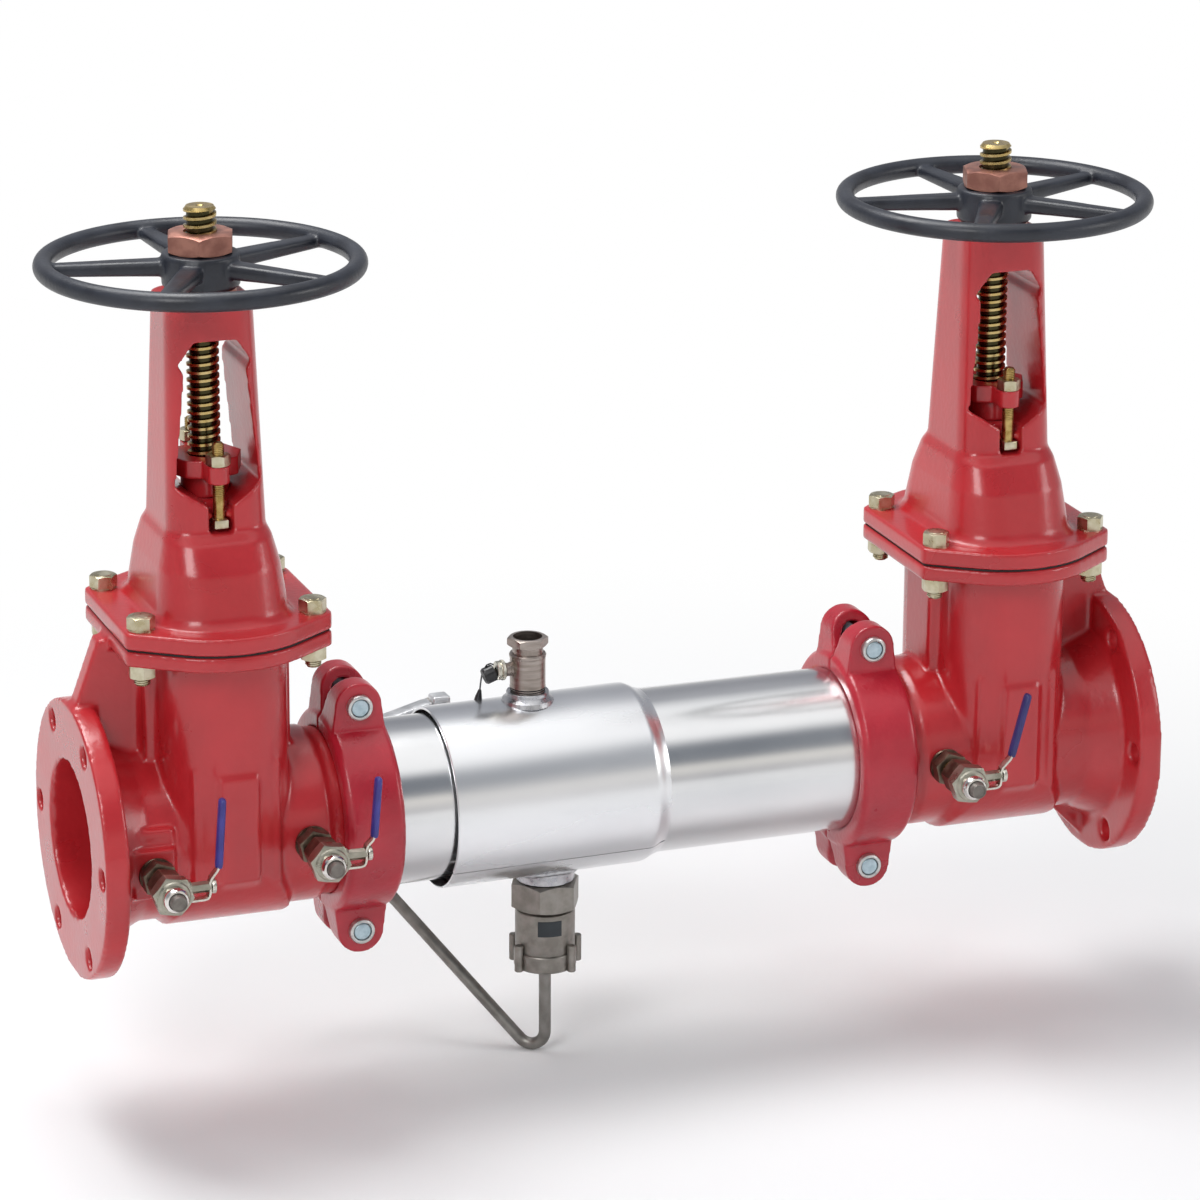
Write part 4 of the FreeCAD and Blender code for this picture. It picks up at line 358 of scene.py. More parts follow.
# Wedges: cast iron discs faced in rubber that hang on the stems' feet and close the waterway,
# out of sight in the bodies.
gate_iron = coat("gate_iron", ((0.10, 0.035, 0.03), (0.17, 0.06, 0.045)), (0.5, 0.7), grain=60.0, bump=0.0003,
                 bump_grain=300.0)
finish_nodes(gate_iron, "gate_iron", "inlet_wedge", "outlet_wedge")

# Yoke nuts and their caps: turned bronze nuts that the wheels turn and the stems screw through,
# each held down by a bronze ring in the yoke's head.
nut_bronze = coat("nut_bronze", ((0.30, 0.13, 0.10), (0.44, 0.21, 0.16)), (0.35, 0.5), metallic=0.75, grain=70.0,
                  bump=0.0002, bump_grain=350.0)
finish_nodes(nut_bronze, "nut_bronze", "inlet_yoke_nut", "outlet_yoke_nut", "yoke_caps")

# Handwheels: iron castings with a round rim, five tapered spokes and a tall hub, in satin
# blue-black paint.
black_enamel = coat("black_enamel", ((0.012, 0.014, 0.021), (0.022, 0.026, 0.037)), (0.34, 0.46), grain=30.0,
                    bump=0.0002, bump_grain=260.0)
for side in ("inlet", "outlet"):
    show(f"{side}_wheel_casting", sand_cast(f"{side}_handwheel", 0.0016, 6), black_enamel, f"{side}_wheel",
         "black_enamel", f"{side}_handwheel")

# Wheel nuts: a wide, flat hexagon of copper-coloured bronze, forged and bored, that holds each
# wheel on its yoke nut and turns with it.
WHEEL_NUT_LOW, WHEEL_NUT_TOP, WHEEL_NUT_FLATS, WHEEL_NUT_BORE = 0.582, 0.602, 0.061, 0.02
for side, x in (("inlet", VALVE_X), ("outlet", LENGTH - VALVE_X)):
    bm = bmesh.new()
    hexagon(bm, WHEEL_NUT_FLATS, WHEEL_NUT_LOW, WHEEL_NUT_TOP, bore=WHEEL_NUT_BORE, turn=0.75)
    show(f"{side}_hexagon_nut", repeated(bm, [Matrix.Translation((x, 0, 0))]), nut_bronze, f"{side}_wheel",
         "nut_bronze", f"{side}_wheel_nut", sharp=30)

# Grooved couplings: two cast iron halves round each joint, keyed into the grooves, in a red paint a
# little nearer to crimson. Their hollow ears meet above and below, and a bolt draws them together.
coupling_paint = coat("coupling_paint", ((0.40, 0.013, 0.028), (0.48, 0.018, 0.035)), (0.27, 0.36), grain=20.0,
                      bump=0.0004, bump_grain=200.0, gloss_coat=0.2, coat_roughness=0.2)
for side in ("inlet", "outlet"):
    for face in ("front", "rear"):
        show(f"{side}_{face}_half", sand_cast(f"{side}_coupling_{face}", 0.0018, 5), coupling_paint, "assembly",
             "coupling_paint", f"{side}_coupling_{face}")
finish_nodes(rubber, "seal_rubber", "coupling_gaskets")

# Coupling bolts: round-headed track bolts whose button heads face the front, bright zinc at the rim
# and pale blue in the middle, with a hexagon nut behind each rear ear.
COUPLING_X, EAR_HEIGHT, EAR_DEPTH = 0.285, 0.118, 0.042
TRACK_BOLT, TRACK_ROOT, TRACK_TAIL, TRACK_NUT, TRACK_NUT_FLATS = 0.008, 0.0069, 0.0165, 0.013, 0.027
blue_zinc = coat("blue_zinc", ((0.36, 0.48, 0.54), (0.52, 0.64, 0.70)), (0.3, 0.45), metallic=0.6, grain=150.0,
                 bump=0.00008, bump_grain=900.0)
bright_zinc = coat("bright_zinc", ((0.50, 0.50, 0.49), (0.66, 0.66, 0.65)), (0.25, 0.4), metallic=0.9, grain=110.0,
                   bump=0.00008, bump_grain=800.0)
FORWARD = Matrix.Rotation(math.pi / 2, 4, "X")
bolt_places = [Matrix.Translation((x, 0, sign * EAR_HEIGHT)) @ FORWARD
               for x in (COUPLING_X, LENGTH - COUPLING_X) for sign in (1, -1)]
bm = bmesh.new()
turned(bm, [(0, EAR_DEPTH), (0.0086, EAR_DEPTH), (0.0086, EAR_DEPTH + 0.0042), (0.0078, EAR_DEPTH + 0.005),
            (0.0068, EAR_DEPTH + 0.0046), (0, EAR_DEPTH + 0.0048)])
thread(bm, TRACK_BOLT, TRACK_ROOT, 0.002, -EAR_DEPTH - TRACK_TAIL, 0.016, steps=20)
turned(bm, [(0, -EAR_DEPTH - TRACK_TAIL - 0.0015), (0.0055, -EAR_DEPTH - TRACK_TAIL - 0.0015),
            (TRACK_ROOT, -EAR_DEPTH - TRACK_TAIL), (0, -EAR_DEPTH - TRACK_TAIL)], 24)
turned(bm, [(0, 0.0155), (0.0079, 0.0155), (0.0079, EAR_DEPTH), (0, EAR_DEPTH)], 32)
show("coupling_bolt_shanks", repeated(bm, bolt_places), blue_zinc, "assembly", "zinc_steel", sharp=30)
bm = bmesh.new()
turned(bm, [(0.0092, EAR_DEPTH), (0.0133, EAR_DEPTH), (0.0133, EAR_DEPTH + 0.0032), (0.0125, EAR_DEPTH + 0.0052),
            (0.0112, EAR_DEPTH + 0.0058), (0.0097, EAR_DEPTH + 0.0054), (0.0092, EAR_DEPTH + 0.0045)])
hexagon(bm, TRACK_NUT_FLATS, -EAR_DEPTH - TRACK_NUT, -EAR_DEPTH, bore=0.0071, turn=0.3)
show("coupling_bolt_heads", repeated(bm, bolt_places), bright_zinc, "assembly", "zinc_steel", "coupling_bolts",
     sharp=30)

# Check housing: thin drawn stainless tube, clouded faintly along its length, with a rolled groove near
# each end and an access port that the sleeve covers. Rubber seals lie between the two.
brushed = coat("stainless", ((0.74, 0.75, 0.77), (0.84, 0.845, 0.86)), (0.24, 0.31), metallic=1.0, grain=9.0,
               stretch=(0.35, 1, 1), bump=0.00001, bump_grain=40.0)
drawn_tube = coat("housing_steel", ((0.64, 0.65, 0.665), (0.78, 0.78, 0.785)), (0.17, 0.22), metallic=1.0,
                  grain=9.0, stretch=(0.35, 1, 1), bump=0.00001, bump_grain=40.0)
finish_nodes(drawn_tube, "stainless", "check_housing")
finish_nodes(rubber, "seal_rubber", "sleeve_seals")

# Access sleeve: stainless sheet rolled to a tube and drawn in at its far end, its near end a little
# low. A thinner sheet, set a little deeper, closes it below, with a dark seam along the lower front.
# The two bosses are welded on, with rippled beads of weld round them.
SLEEVE, SLEEVE_IN, LOWER_WALL, PIPE = 0.0925, 0.0895, 0.0015, 0.08415
SLEEVE_FROM, SLEEVE_TO, DRAWN = 0.372, 0.600, 0.018
TOP_X, RELIEF_X, TOP_BOSS, LOW_BOSS = 0.476, 0.495, 0.101, 0.103
SEAM_LOW, SEAM_BACK, SEAM_GAP, LAP, SAG = math.radians(-37), math.radians(232), 0.019, 0.0009, 0.002


def sheet(bm, drop, wall, start, sweep, steps):
    """The sleeve's wall over part of its turn, lowered by a lap, its far end drawn in by a soft curve."""
    outer, narrow = SLEEVE - drop, PIPE + 0.0016
    outside = [(outer - 0.0006, SLEEVE_FROM), (outer, SLEEVE_FROM + 0.0006)]
    for share in (0, 0.15, 0.3, 0.45, 0.6, 0.75, 0.9):
        near = (1 + math.cos(math.pi * share)) / 2
        outside.append((narrow + (outer - narrow) * near, SLEEVE_TO - DRAWN * (1 - share)))
    inside = [(PIPE + 0.0012, SLEEVE_TO), (PIPE + 0.0003, SLEEVE_TO), (outer - wall - 0.0005, SLEEVE_TO - DRAWN),
              (outer - wall, SLEEVE_FROM)]
    points = [bm.verts.new((along, -radius * math.cos(start), radius * math.sin(start)))
              for radius, along in outside + inside]
    face = bm.faces.new(points)
    bmesh.ops.spin(bm, geom=[face] + face.edges[:] + points, cent=(0, 0, 0), axis=(-1, 0, 0), angle=sweep,
                   steps=steps)


def weld_bead(bm, x, radius, side, width):
    """A bead of weld where an upright boss meets the sleeve, rippled as it was laid."""
    around = Matrix.Translation((2, 0, 0)) @ Matrix.Rotation(math.pi / 2, 4, "X")
    ring = bmesh.ops.create_circle(bm, cap_ends=False, radius=1, segments=10, matrix=around)["verts"]
    before = set(bm.verts) - set(ring)
    edges = [edge for edge in bm.edges if edge.verts[0] in ring]
    bmesh.ops.spin(bm, geom=ring + edges, cent=(0, 0, 0), axis=(0, 0, 1), angle=2 * math.pi, steps=96,
                   use_merge=True)
    for vertex in set(bm.verts) - before:
        turn = math.atan2(vertex.co.y, vertex.co.x)
        size = width * (1 + 0.12 * math.sin(24 * turn) + 0.07 * math.sin(5 * turn))
        out = radius + size * (vertex.co.xy.length - 2)
        vertex.co = (x + out * math.cos(turn), out * math.sin(turn),
                     side * math.sqrt(SLEEVE ** 2 - (out * math.sin(turn)) ** 2) + size * vertex.co.z)
    bmesh.ops.recalc_face_normals(bm, faces=bm.faces)


def sagging(bm):
    """Lower a mesh more and more towards the sleeve's near end."""
    for vertex in bm.verts:
        vertex.co.z -= SAG * (SLEEVE_TO - vertex.co.x) / (SLEEVE_TO - SLEEVE_FROM)


bm = bmesh.new()
sheet(bm, 0, SLEEVE - SLEEVE_IN, SEAM_LOW, SEAM_BACK - SEAM_LOW, 96)
sheet(bm, LAP, LOWER_WALL, SEAM_BACK + SEAM_GAP, 2 * math.pi + SEAM_LOW - SEAM_BACK - 2.4 * SEAM_GAP, 40)
sagging(bm)
bmesh.ops.recalc_face_normals(bm, faces=bm.faces)
show("sleeve_sheet", repeated(bm), brushed, "assembly", "stainless", "access_sleeve", sharp=25)
welded = coat("welded_steel", ((0.38, 0.385, 0.41), (0.56, 0.56, 0.575)), (0.24, 0.4), metallic=1.0, grain=140.0,
              bump=0.0003, bump_grain=260.0)
bm = bmesh.new()
turned(bm, [(0.0172, SLEEVE_IN), (0.0272, SLEEVE - 0.004), (0.0258, SLEEVE + 0.0005), (0.0228, SLEEVE + 0.003),
            (0.0216, SLEEVE + 0.0045), (0.0216, TOP_BOSS - 0.0008), (0.0209, TOP_BOSS), (0.0172, TOP_BOSS)])
top_place = [Matrix.Translation((TOP_X, 0, 0))]
show("top_boss_ring", repeated(bm, top_place), welded, "assembly", "stainless", sharp=30)
bm = bmesh.new()
turned(bm, [(0.0232, -LOW_BOSS), (0.0292, -LOW_BOSS), (0.03, -LOW_BOSS + 0.0008), (0.03, -SLEEVE + 0.002),
            (0.032, -SLEEVE + 0.006), (0.0232, -SLEEVE_IN)])
relief_place = [Matrix.Translation((RELIEF_X, 0, 0))]
show("relief_boss_ring", repeated(bm, relief_place), welded, "assembly", "stainless", sharp=30)
bm = bmesh.new()
weld_bead(bm, TOP_X, 0.0242, 1, 0.0022)
weld_bead(bm, RELIEF_X, 0.0305, -1, 0.003)
sagging(bm)
show("boss_welds", repeated(bm), welded, "assembly", "stainless")


def closing_spring(node):
    """The node's coil of stainless wire, as it is, in a mesh of its own."""
    coil = show(f"{node}_coil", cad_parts[node].data.copy(), brushed, "assembly", "stainless", node, sharp=40)
    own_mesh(coil)


for number in ("first", "second"):
    finish_nodes(nut_bronze, "nickel_bronze", f"{number}_check_seat", f"{number}_check_poppet")
    closing_spring(f"{number}_check_spring")

# Relief valve: nickel-grey bronze, screwed up under the sleeve by a large union nut. The ring below
# it has four lugs to turn it by. A bare dark plate, bent to the body, takes its label's place.
UNION_FOOT, RELIEF_STEP, RELIEF_FOOT, RELIEF_STROKE = 0.133, 0.137, 0.183, 0.005
NUT_FLATS, UNION_IN, BOWL_IN, HUB_IN = 0.064, 0.0232, 0.017, 0.0064
LUG_HIGH, LUG_LOW, LUG_REACH, PRONG_TOP, HUB_FOOT = 0.180, 0.1977, 0.0345, 0.1695, 0.202
PLATE_IN, PLATE_OUT, PLATE_LOW, PLATE_HIGH = 0.0300, 0.0315, -0.157, -0.1405
PLATE_FROM, PLATE_SWEEP = math.radians(237), math.radians(46)
FRONT, LUG_TURNS, UNION_TURN = 250, (-50, -110, 52, 108), math.radians(32.4)
nickel_grey = coat("nickel_bronze", ((0.20, 0.185, 0.165), (0.31, 0.29, 0.265)), (0.34, 0.48), metallic=0.9,
                   grain=70.0, bump=0.00015, bump_grain=450.0)
bm = bmesh.new()
hexagon(bm, NUT_FLATS, -UNION_FOOT, -LOW_BOSS - 0.0006, bore=UNION_IN, turn=UNION_TURN)
show("union_nut", repeated(bm, relief_place), nickel_grey, "assembly", "nickel_bronze", "relief_union_nut", sharp=30)
bm = bmesh.new()
turned(bm, [(BOWL_IN, -PIPE), (0.0228, -PIPE), (0.0228, -UNION_FOOT + 0.002), (0.0265, -UNION_FOOT - 0.0006),
            (0.0300, -RELIEF_STEP + 0.001), (0.0308, -RELIEF_STEP - 0.001), (0.0308, -LUG_HIGH + 0.004),
            (0.0302, -LUG_HIGH + 0.0015), (0.0302, -RELIEF_FOOT), (0.026, -RELIEF_FOOT), (0.026, -0.168),
            (BOWL_IN, -0.168)], 72)
show("relief_bowl", repeated(bm, relief_place), nickel_grey, "assembly", "nickel_bronze", "relief_body", sharp=30)
bm = bmesh.new()
turned(bm, [(HUB_IN, -HUB_FOOT), (0.0074, -HUB_FOOT), (0.008, -HUB_FOOT + 0.0008), (0.0084, -LUG_LOW),
            (0.0305, -LUG_LOW), (0.032, -LUG_LOW + 0.0015), (0.032, -LUG_HIGH - 0.001), (0.0314, -LUG_HIGH),
            (0.0304, -LUG_HIGH), (0.0304, -RELIEF_FOOT), (HUB_IN, -RELIEF_FOOT)], 72)
for lug in LUG_TURNS:
    turn = math.radians(FRONT + lug)
    prong = turned(bm, [(0, -LUG_LOW), (0.0038, -LUG_LOW), (0.0045, -LUG_LOW + 0.0008), (0.0045, -PRONG_TOP - 0.0008),
                        (0.0038, -PRONG_TOP), (0, -PRONG_TOP)], 24)
    bmesh.ops.translate(bm, verts=prong, vec=(LUG_REACH * math.cos(turn), LUG_REACH * math.sin(turn), 0))
show("lugged_ring", repeated(bm, relief_place), nickel_grey, "assembly", "nickel_bronze", "relief_lug_nut", sharp=30)
dark_plate = coat("dark_plate", ((0.012, 0.017, 0.022), (0.02, 0.026, 0.032)), (0.4, 0.5), grain=60.0,
                  bump=0.00004, bump_grain=800.0)
bm = bmesh.new()
plate_edge = [bm.verts.new((radius * math.cos(PLATE_FROM), radius * math.sin(PLATE_FROM), height))
              for radius, height in ((PLATE_IN, PLATE_LOW), (PLATE_OUT, PLATE_LOW), (PLATE_OUT, PLATE_HIGH),
                                     (PLATE_IN, PLATE_HIGH))]
face = bm.faces.new(plate_edge)
bmesh.ops.spin(bm, geom=[face] + face.edges[:] + plate_edge, cent=(0, 0, 0), axis=(0, 0, 1), angle=PLATE_SWEEP,
               steps=20)
bmesh.ops.recalc_face_normals(bm, faces=bm.faces)
show("bare_plate", repeated(bm, relief_place), dark_plate, "assembly", "black_plastic", sharp=30)
finish_nodes(nickel_grey, "nickel_bronze", "relief_disc")
closing_spring("relief_spring")

# Sensing tube: one bent length of nickel-grey tube from under the relief valve up to the inlet valve.
# It keeps the form of its solid.
tube_grey = coat("tube_steel", ((0.20, 0.19, 0.175), (0.30, 0.29, 0.27)), (0.32, 0.45), metallic=0.9, grain=60.0,
                 bump=0.0001, bump_grain=500.0)
finish_nodes(tube_grey, "nickel_bronze", "sensing_tube")

# Top test port: a turned bronze body with a hexagon mouth, screwed down on two thin rubber rings,
# and a paler side port that ends in a knurled flange and a lip.
TOP_STEP, HEX_FOOT, MOUTH, MOUTH_FLATS, MOUTH_BORE = 0.1410, 0.1485, 0.158, 0.0365, 0.0148
SIDE_Z, SIDE_END, SIDE_BORE, KNURLS, KNURL_DEPTH = 0.125, 0.442, 0.0035, 48, 0.035
pink_bronze = coat("pink_bronze", ((0.27, 0.23, 0.205), (0.40, 0.35, 0.32)), (0.28, 0.4), metallic=0.95, grain=40.0,
                   stretch=(1, 1, 8), bump=0.00006, bump_grain=200.0)
pale_nickel = coat("pale_nickel", ((0.46, 0.44, 0.37), (0.62, 0.60, 0.53)), (0.22, 0.38), metallic=1.0, grain=120.0,
                   bump=0.0001, bump_grain=700.0)
LEFTWARD = Matrix.Rotation(-math.pi / 2, 4, "Y")
bm = bmesh.new()
turned(bm, [(0.015, PIPE + 0.004), (0.017, PIPE + 0.004), (0.017, TOP_BOSS + 0.0042), (0.0184, TOP_BOSS + 0.0048),
            (0.0180, TOP_BOSS + 0.006), (0.0180, TOP_STEP - 0.0046), (0.0186, TOP_STEP - 0.0038),
            (0.0188, TOP_STEP - 0.0014), (0.0178, TOP_STEP), (0.0156, TOP_STEP), (0.0156, HEX_FOOT),
            (0.015, HEX_FOOT)], 64)
hexagon(bm, MOUTH_FLATS, HEX_FOOT, MOUTH, bore=MOUTH_BORE, turn=math.radians(19))
neck = turned(bm, [(SIDE_BORE, 0.016), (0.007, 0.016), (0.0074, 0.019), (0.0068, 0.0195), (0.0068, 0.025),
                   (SIDE_BORE, 0.025)], 40)
bmesh.ops.transform(bm, matrix=Matrix.Translation((0, 0, SIDE_Z)) @ LEFTWARD, verts=neck)
show("test_port_body", repeated(bm, top_place), pink_bronze, "assembly", "nickel_bronze", "top_test_port", sharp=30)
bm = bmesh.new()
for height in (TOP_BOSS + 0.0012, TOP_BOSS + 0.0034):
    turned(bm, [(0.0165, height - 0.0006), (0.0172, height - 0.0006), (0.0177, height), (0.0172, height + 0.0006),
                (0.0165, height + 0.0006)], 64)
show("test_port_rings", repeated(bm, top_place), rubber, "assembly", "seal_rubber", sharp=40)
bm = bmesh.new()
SIDE = TOP_X - SIDE_END
knurled = turned(bm, [(SIDE_BORE, SIDE - 0.0105), (0.0068, SIDE - 0.0105), (0.0085, SIDE - 0.0095),
                      (0.0104, SIDE - 0.0082), (0.0104, SIDE - 0.0055), (0.009, SIDE - 0.0047),
                      (0.0097, SIDE - 0.0036), (0.0097, SIDE - 0.0008), (0.009, SIDE), (SIDE_BORE, SIDE)], 96)
for vertex in knurled:
    if vertex.co.xy.length > 0.01 and math.cos(KNURLS * math.atan2(vertex.co.y, vertex.co.x)) > 0:
        vertex.co.xy *= 1 - KNURL_DEPTH
side_port = repeated(bm, [Matrix.Translation((TOP_X, 0, SIDE_Z)) @ LEFTWARD])
show("side_port", side_port, pale_nickel, "assembly", "nickel_bronze", sharp=30)

# Dust cap and its tether: soft black plastic. The ribbed cap hangs askew on the side port, and its
# strap arches over and down to a cone-shaped foot on the sleeve, behind it.
black_plastic = coat("black_plastic", ((0.008, 0.008, 0.009), (0.018, 0.018, 0.020)), (0.35, 0.5), grain=100.0,
                     bump=0.0001, bump_grain=700.0)


def swept(bm, points, radii, sides=14, flat=1.0):
    """A rod drawn along points with a radius at each, its section flattened by a share, its ends closed."""
    places, normal = [], None
    for index, point in enumerate(points):
        along = (points[min(index + 1, len(points) - 1)] - points[max(index - 1, 0)]).normalized()
        if normal is None:
            normal = along.cross(Vector((0, 1, 0)))
        normal = (normal - along * normal.dot(along)).normalized()
        turn = Matrix((normal * flat, along.cross(normal), along)).transposed().to_4x4()
        places.append(Matrix.Translation(point) @ turn @ Matrix.Scale(radii[index], 4))
    ring = bmesh.ops.create_circle(bm, cap_ends=False, radius=1, segments=sides, matrix=places[0])["verts"]
    first = edges = [edge for edge in bm.edges if edge.verts[0] in ring]
    for before, after in zip(places, places[1:]):
        fresh = bmesh.ops.extrude_edge_only(bm, edges=edges)["geom"]
        ring = {item for item in fresh if isinstance(item, bmesh.types.BMVert)}
        edges = [item for item in fresh if isinstance(item, bmesh.types.BMEdge) and ring.issuperset(item.verts)]
        bmesh.ops.transform(bm, matrix=after @ before.inverted(), verts=list(ring))
    bmesh.ops.holes_fill(bm, edges=first + edges)
    bmesh.ops.recalc_face_normals(bm, faces=bm.faces)


RIBS, RIB_DEPTH, CAP_TILT = 8, 0.07, math.radians(-20)
bm = bmesh.new()
cap = turned(bm, [(0, 0.0005), (0.0078, 0.0005), (0.0086, 0.0015), (0.0086, 0.0105), (0.0074, 0.0125),
                  (0, 0.0128)], 48)
for vertex in cap:
    if vertex.co.xy.length > 0.008 and math.cos(RIBS * math.atan2(vertex.co.y, vertex.co.x)) > 0:
        vertex.co.xy *= 1 - RIB_DEPTH
askew = Matrix.Translation((SIDE_END - 0.001, 0, SIDE_Z - 0.001)) @ LEFTWARD @ Matrix.Rotation(CAP_TILT, 4, "Y")
show("ribbed_cap", repeated(bm, [askew]), black_plastic, "assembly", "black_plastic", "dust_cap", sharp=30)
bm = bmesh.new()
CONE_TIP, CONE_FOOT = (0.4335, 0.0240, 0.0985), (0.4325, 0.0275, 0.0862)
strap_path = [Vector(point) for point in (
    (0.4395, 0, 0.1318), (0.4365, 0, 0.1332), (0.4330, 0.001, 0.1318), (0.4308, 0.004, 0.1265),
    (0.4302, 0.009, 0.1180), (0.4312, 0.015, 0.1090), CONE_TIP)]
swept(bm, strap_path, [0.0011] * len(strap_path), 12, flat=0.7)
foot = [Vector(CONE_TIP).lerp(Vector(CONE_FOOT), share) for share in (0, 0.08, 0.24, 0.45, 0.72, 1)]
swept(bm, foot, [0.0010, 0.0017, 0.0022, 0.0028, 0.0036, 0.0040], 20)
show("cap_strap", repeated(bm), black_plastic, "assembly", "black_plastic", "cap_tether", sharp=40)

# Side test cocks: a dark bronze hexagon nipple, gold thread between it and a dark six-sided body,
# a nickel hexagon in front, a polished ring round a grey plug, and a short stem to the right.
cock_dark = coat("cock_bronze", ((0.11, 0.082, 0.06), (0.20, 0.155, 0.115)), (0.3, 0.45), metallic=0.9, grain=90.0,
                 bump=0.0002, bump_grain=450.0)
cock_nickel = coat("cock_nickel", ((0.30, 0.29, 0.235), (0.44, 0.42, 0.355)), (0.26, 0.4), metallic=0.95, grain=90.0,
                   bump=0.00015, bump_grain=500.0)
polished = coat("polished_ring", ((0.62, 0.60, 0.57), (0.74, 0.72, 0.69)), (0.1, 0.18), metallic=1.0, grain=60.0,
                bump=0.00003, bump_grain=600.0)
plug_grey = coat("plug_grey", ((0.15, 0.135, 0.12), (0.23, 0.21, 0.19)), (0.4, 0.55), metallic=0.7, grain=120.0,
                 bump=0.0002, bump_grain=700.0)
COCKS = ((1, 0.060, 0.098, -0.010), (2, 0.221, 0.088, 0.0), (4, 0.899, 0.088, 0.0))  # number, x, face, height
PIVOT, REACH = 0.046, 0.0415
HEX_BACK, BARREL_FROM, BARREL_TO, NOSE_FROM, NOSE_TO = 0.0035, 0.0275, 0.0520, 0.0505, 0.065
cock_places = [Matrix.Translation((x, -face, height)) @ FORWARD for _, x, face, height in COCKS]
RIGHTWARD = Matrix.Rotation(math.pi / 2, 4, "Y")
bm = bmesh.new()
turned(bm, [(0.0105, 0), (0.0172, 0), (0.0178, 0.0015), (0.0172, HEX_BACK), (0.0105, HEX_BACK)], 48)
hexagon(bm, 0.032, HEX_BACK, 0.0185, bore=0.0105, turn=0.2)
turned(bm, [(0.006, -0.012), (0.0104, -0.012), (0.0104, 0.002), (0.006, 0.002)], 32)
hexagon(bm, 0.031, BARREL_FROM, BARREL_TO, bore=0.010, turn=0.35, top=False)
show("dark_nipples", repeated(bm, cock_places), cock_dark, "assembly", "nickel_bronze", "test_cock_nipples", sharp=30)
bm = bmesh.new()
thread(bm, 0.0112, 0.0100, 0.0020, 0.0180, 0.0285, steps=24)
show("nipple_threads", repeated(bm, cock_places), gold_zinc, "assembly", "nickel_bronze", sharp=30)
bm = bmesh.new()
hexagon(bm, 0.0365, NOSE_FROM, NOSE_TO, bore=0.0125, turn=0.35)
turned(bm, [(0.0122, 0.0640), (0.0162, 0.0640), (0.0164, 0.0656), (0.0152, 0.0672), (0.0122, 0.0676)], 56)
necks = bmesh.new()
turned(necks, [(0.0046, 0.012), (0.0088, 0.012), (0.0088, 0.0195), (0.0076, 0.0215), (0.0046, 0.022)], 40)
hexagon(necks, 0.0098, 0.0215, REACH - 0.0012, turn=0.3)
neck_mesh = repeated(necks, [FORWARD.inverted() @ Matrix.Translation((0, -PIVOT, 0)) @ RIGHTWARD])
bm.from_mesh(neck_mesh)
bpy.data.meshes.remove(neck_mesh)
show("nickel_hexagons", repeated(bm, cock_places), cock_nickel, "assembly", "nickel_bronze", "test_cock_bodies",
     sharp=30)
bm = bmesh.new()
turned(bm, [(0.0082, 0.062), (0.0126, 0.062), (0.0128, 0.0715), (0.0121, 0.0750), (0.0108, 0.0772), (0.0092, 0.0778),
            (0.0084, 0.0772), (0.0082, 0.0762)], 64)
show("polished_rings", repeated(bm, cock_places), polished, "assembly", "nickel_bronze", sharp=30)
bm = bmesh.new()
turned(bm, [(0, 0.060), (0.0080, 0.060), (0.0080, 0.0842), (0.0074, 0.0855), (0.0060, 0.086), (0.0058, 0.0854),
            (0, 0.0854)], 48)
show("cock_plugs", repeated(bm, cock_places), plug_grey, "assembly", "nickel_bronze", sharp=30)

# Test cock levers: a nickelled strap, bent back to a stop under the stem, held by a small nut and
# cranked out and up into a dipped purple-blue vinyl grip, which is darker on the last one.
vinyl = coat("grip_vinyl", ((0.034, 0.030, 0.20), (0.056, 0.048, 0.29)), (0.33, 0.45), grain=60.0,
             bump=0.0002, bump_grain=350.0)
dark_vinyl = coat("dark_grip_vinyl", ((0.026, 0.025, 0.125), (0.040, 0.036, 0.18)), (0.33, 0.45), grain=60.0,
                  bump=0.0002, bump_grain=350.0)
strap_steel = coat("lever_steel", ((0.56, 0.53, 0.47), (0.70, 0.67, 0.60)), (0.22, 0.36), metallic=1.0, grain=120.0,
                   bump=0.00008, bump_grain=800.0)


def ribbon(bm, path, thick, half_width, y):
    """A bent strap: an edge drawn along a line of (x, z), given a thickness, its corners eased."""
    edges = [bm.edges.new([bm.verts.new((path[0][0], y + side * half_width, path[0][1])) for side in (-1, 1)])]
    faces = []
    for (x, z), (next_x, next_z) in zip(path, path[1:]):
        fresh = bmesh.ops.extrude_edge_only(bm, edges=edges)["geom"]
        ring = {item for item in fresh if isinstance(item, bmesh.types.BMVert)}
        edges = [item for item in fresh if isinstance(item, bmesh.types.BMEdge) and ring.issuperset(item.verts)]
        faces += [item for item in fresh if isinstance(item, bmesh.types.BMFace)]
        bmesh.ops.translate(bm, verts=list(ring), vec=(next_x - x, 0, next_z - z))
    bmesh.ops.recalc_face_normals(bm, faces=faces)
    bmesh.ops.solidify(bm, geom=faces, thickness=thick)
    bmesh.ops.recalc_face_normals(bm, faces=bm.faces)
    corners = [edge for edge in bm.edges if edge.calc_face_angle(0) > 1.2]
    bmesh.ops.bevel(bm, geom=corners, offset=thick * 0.18, offset_type="OFFSET", segments=2, profile=0.5, material=-1,
                    affect="EDGES")


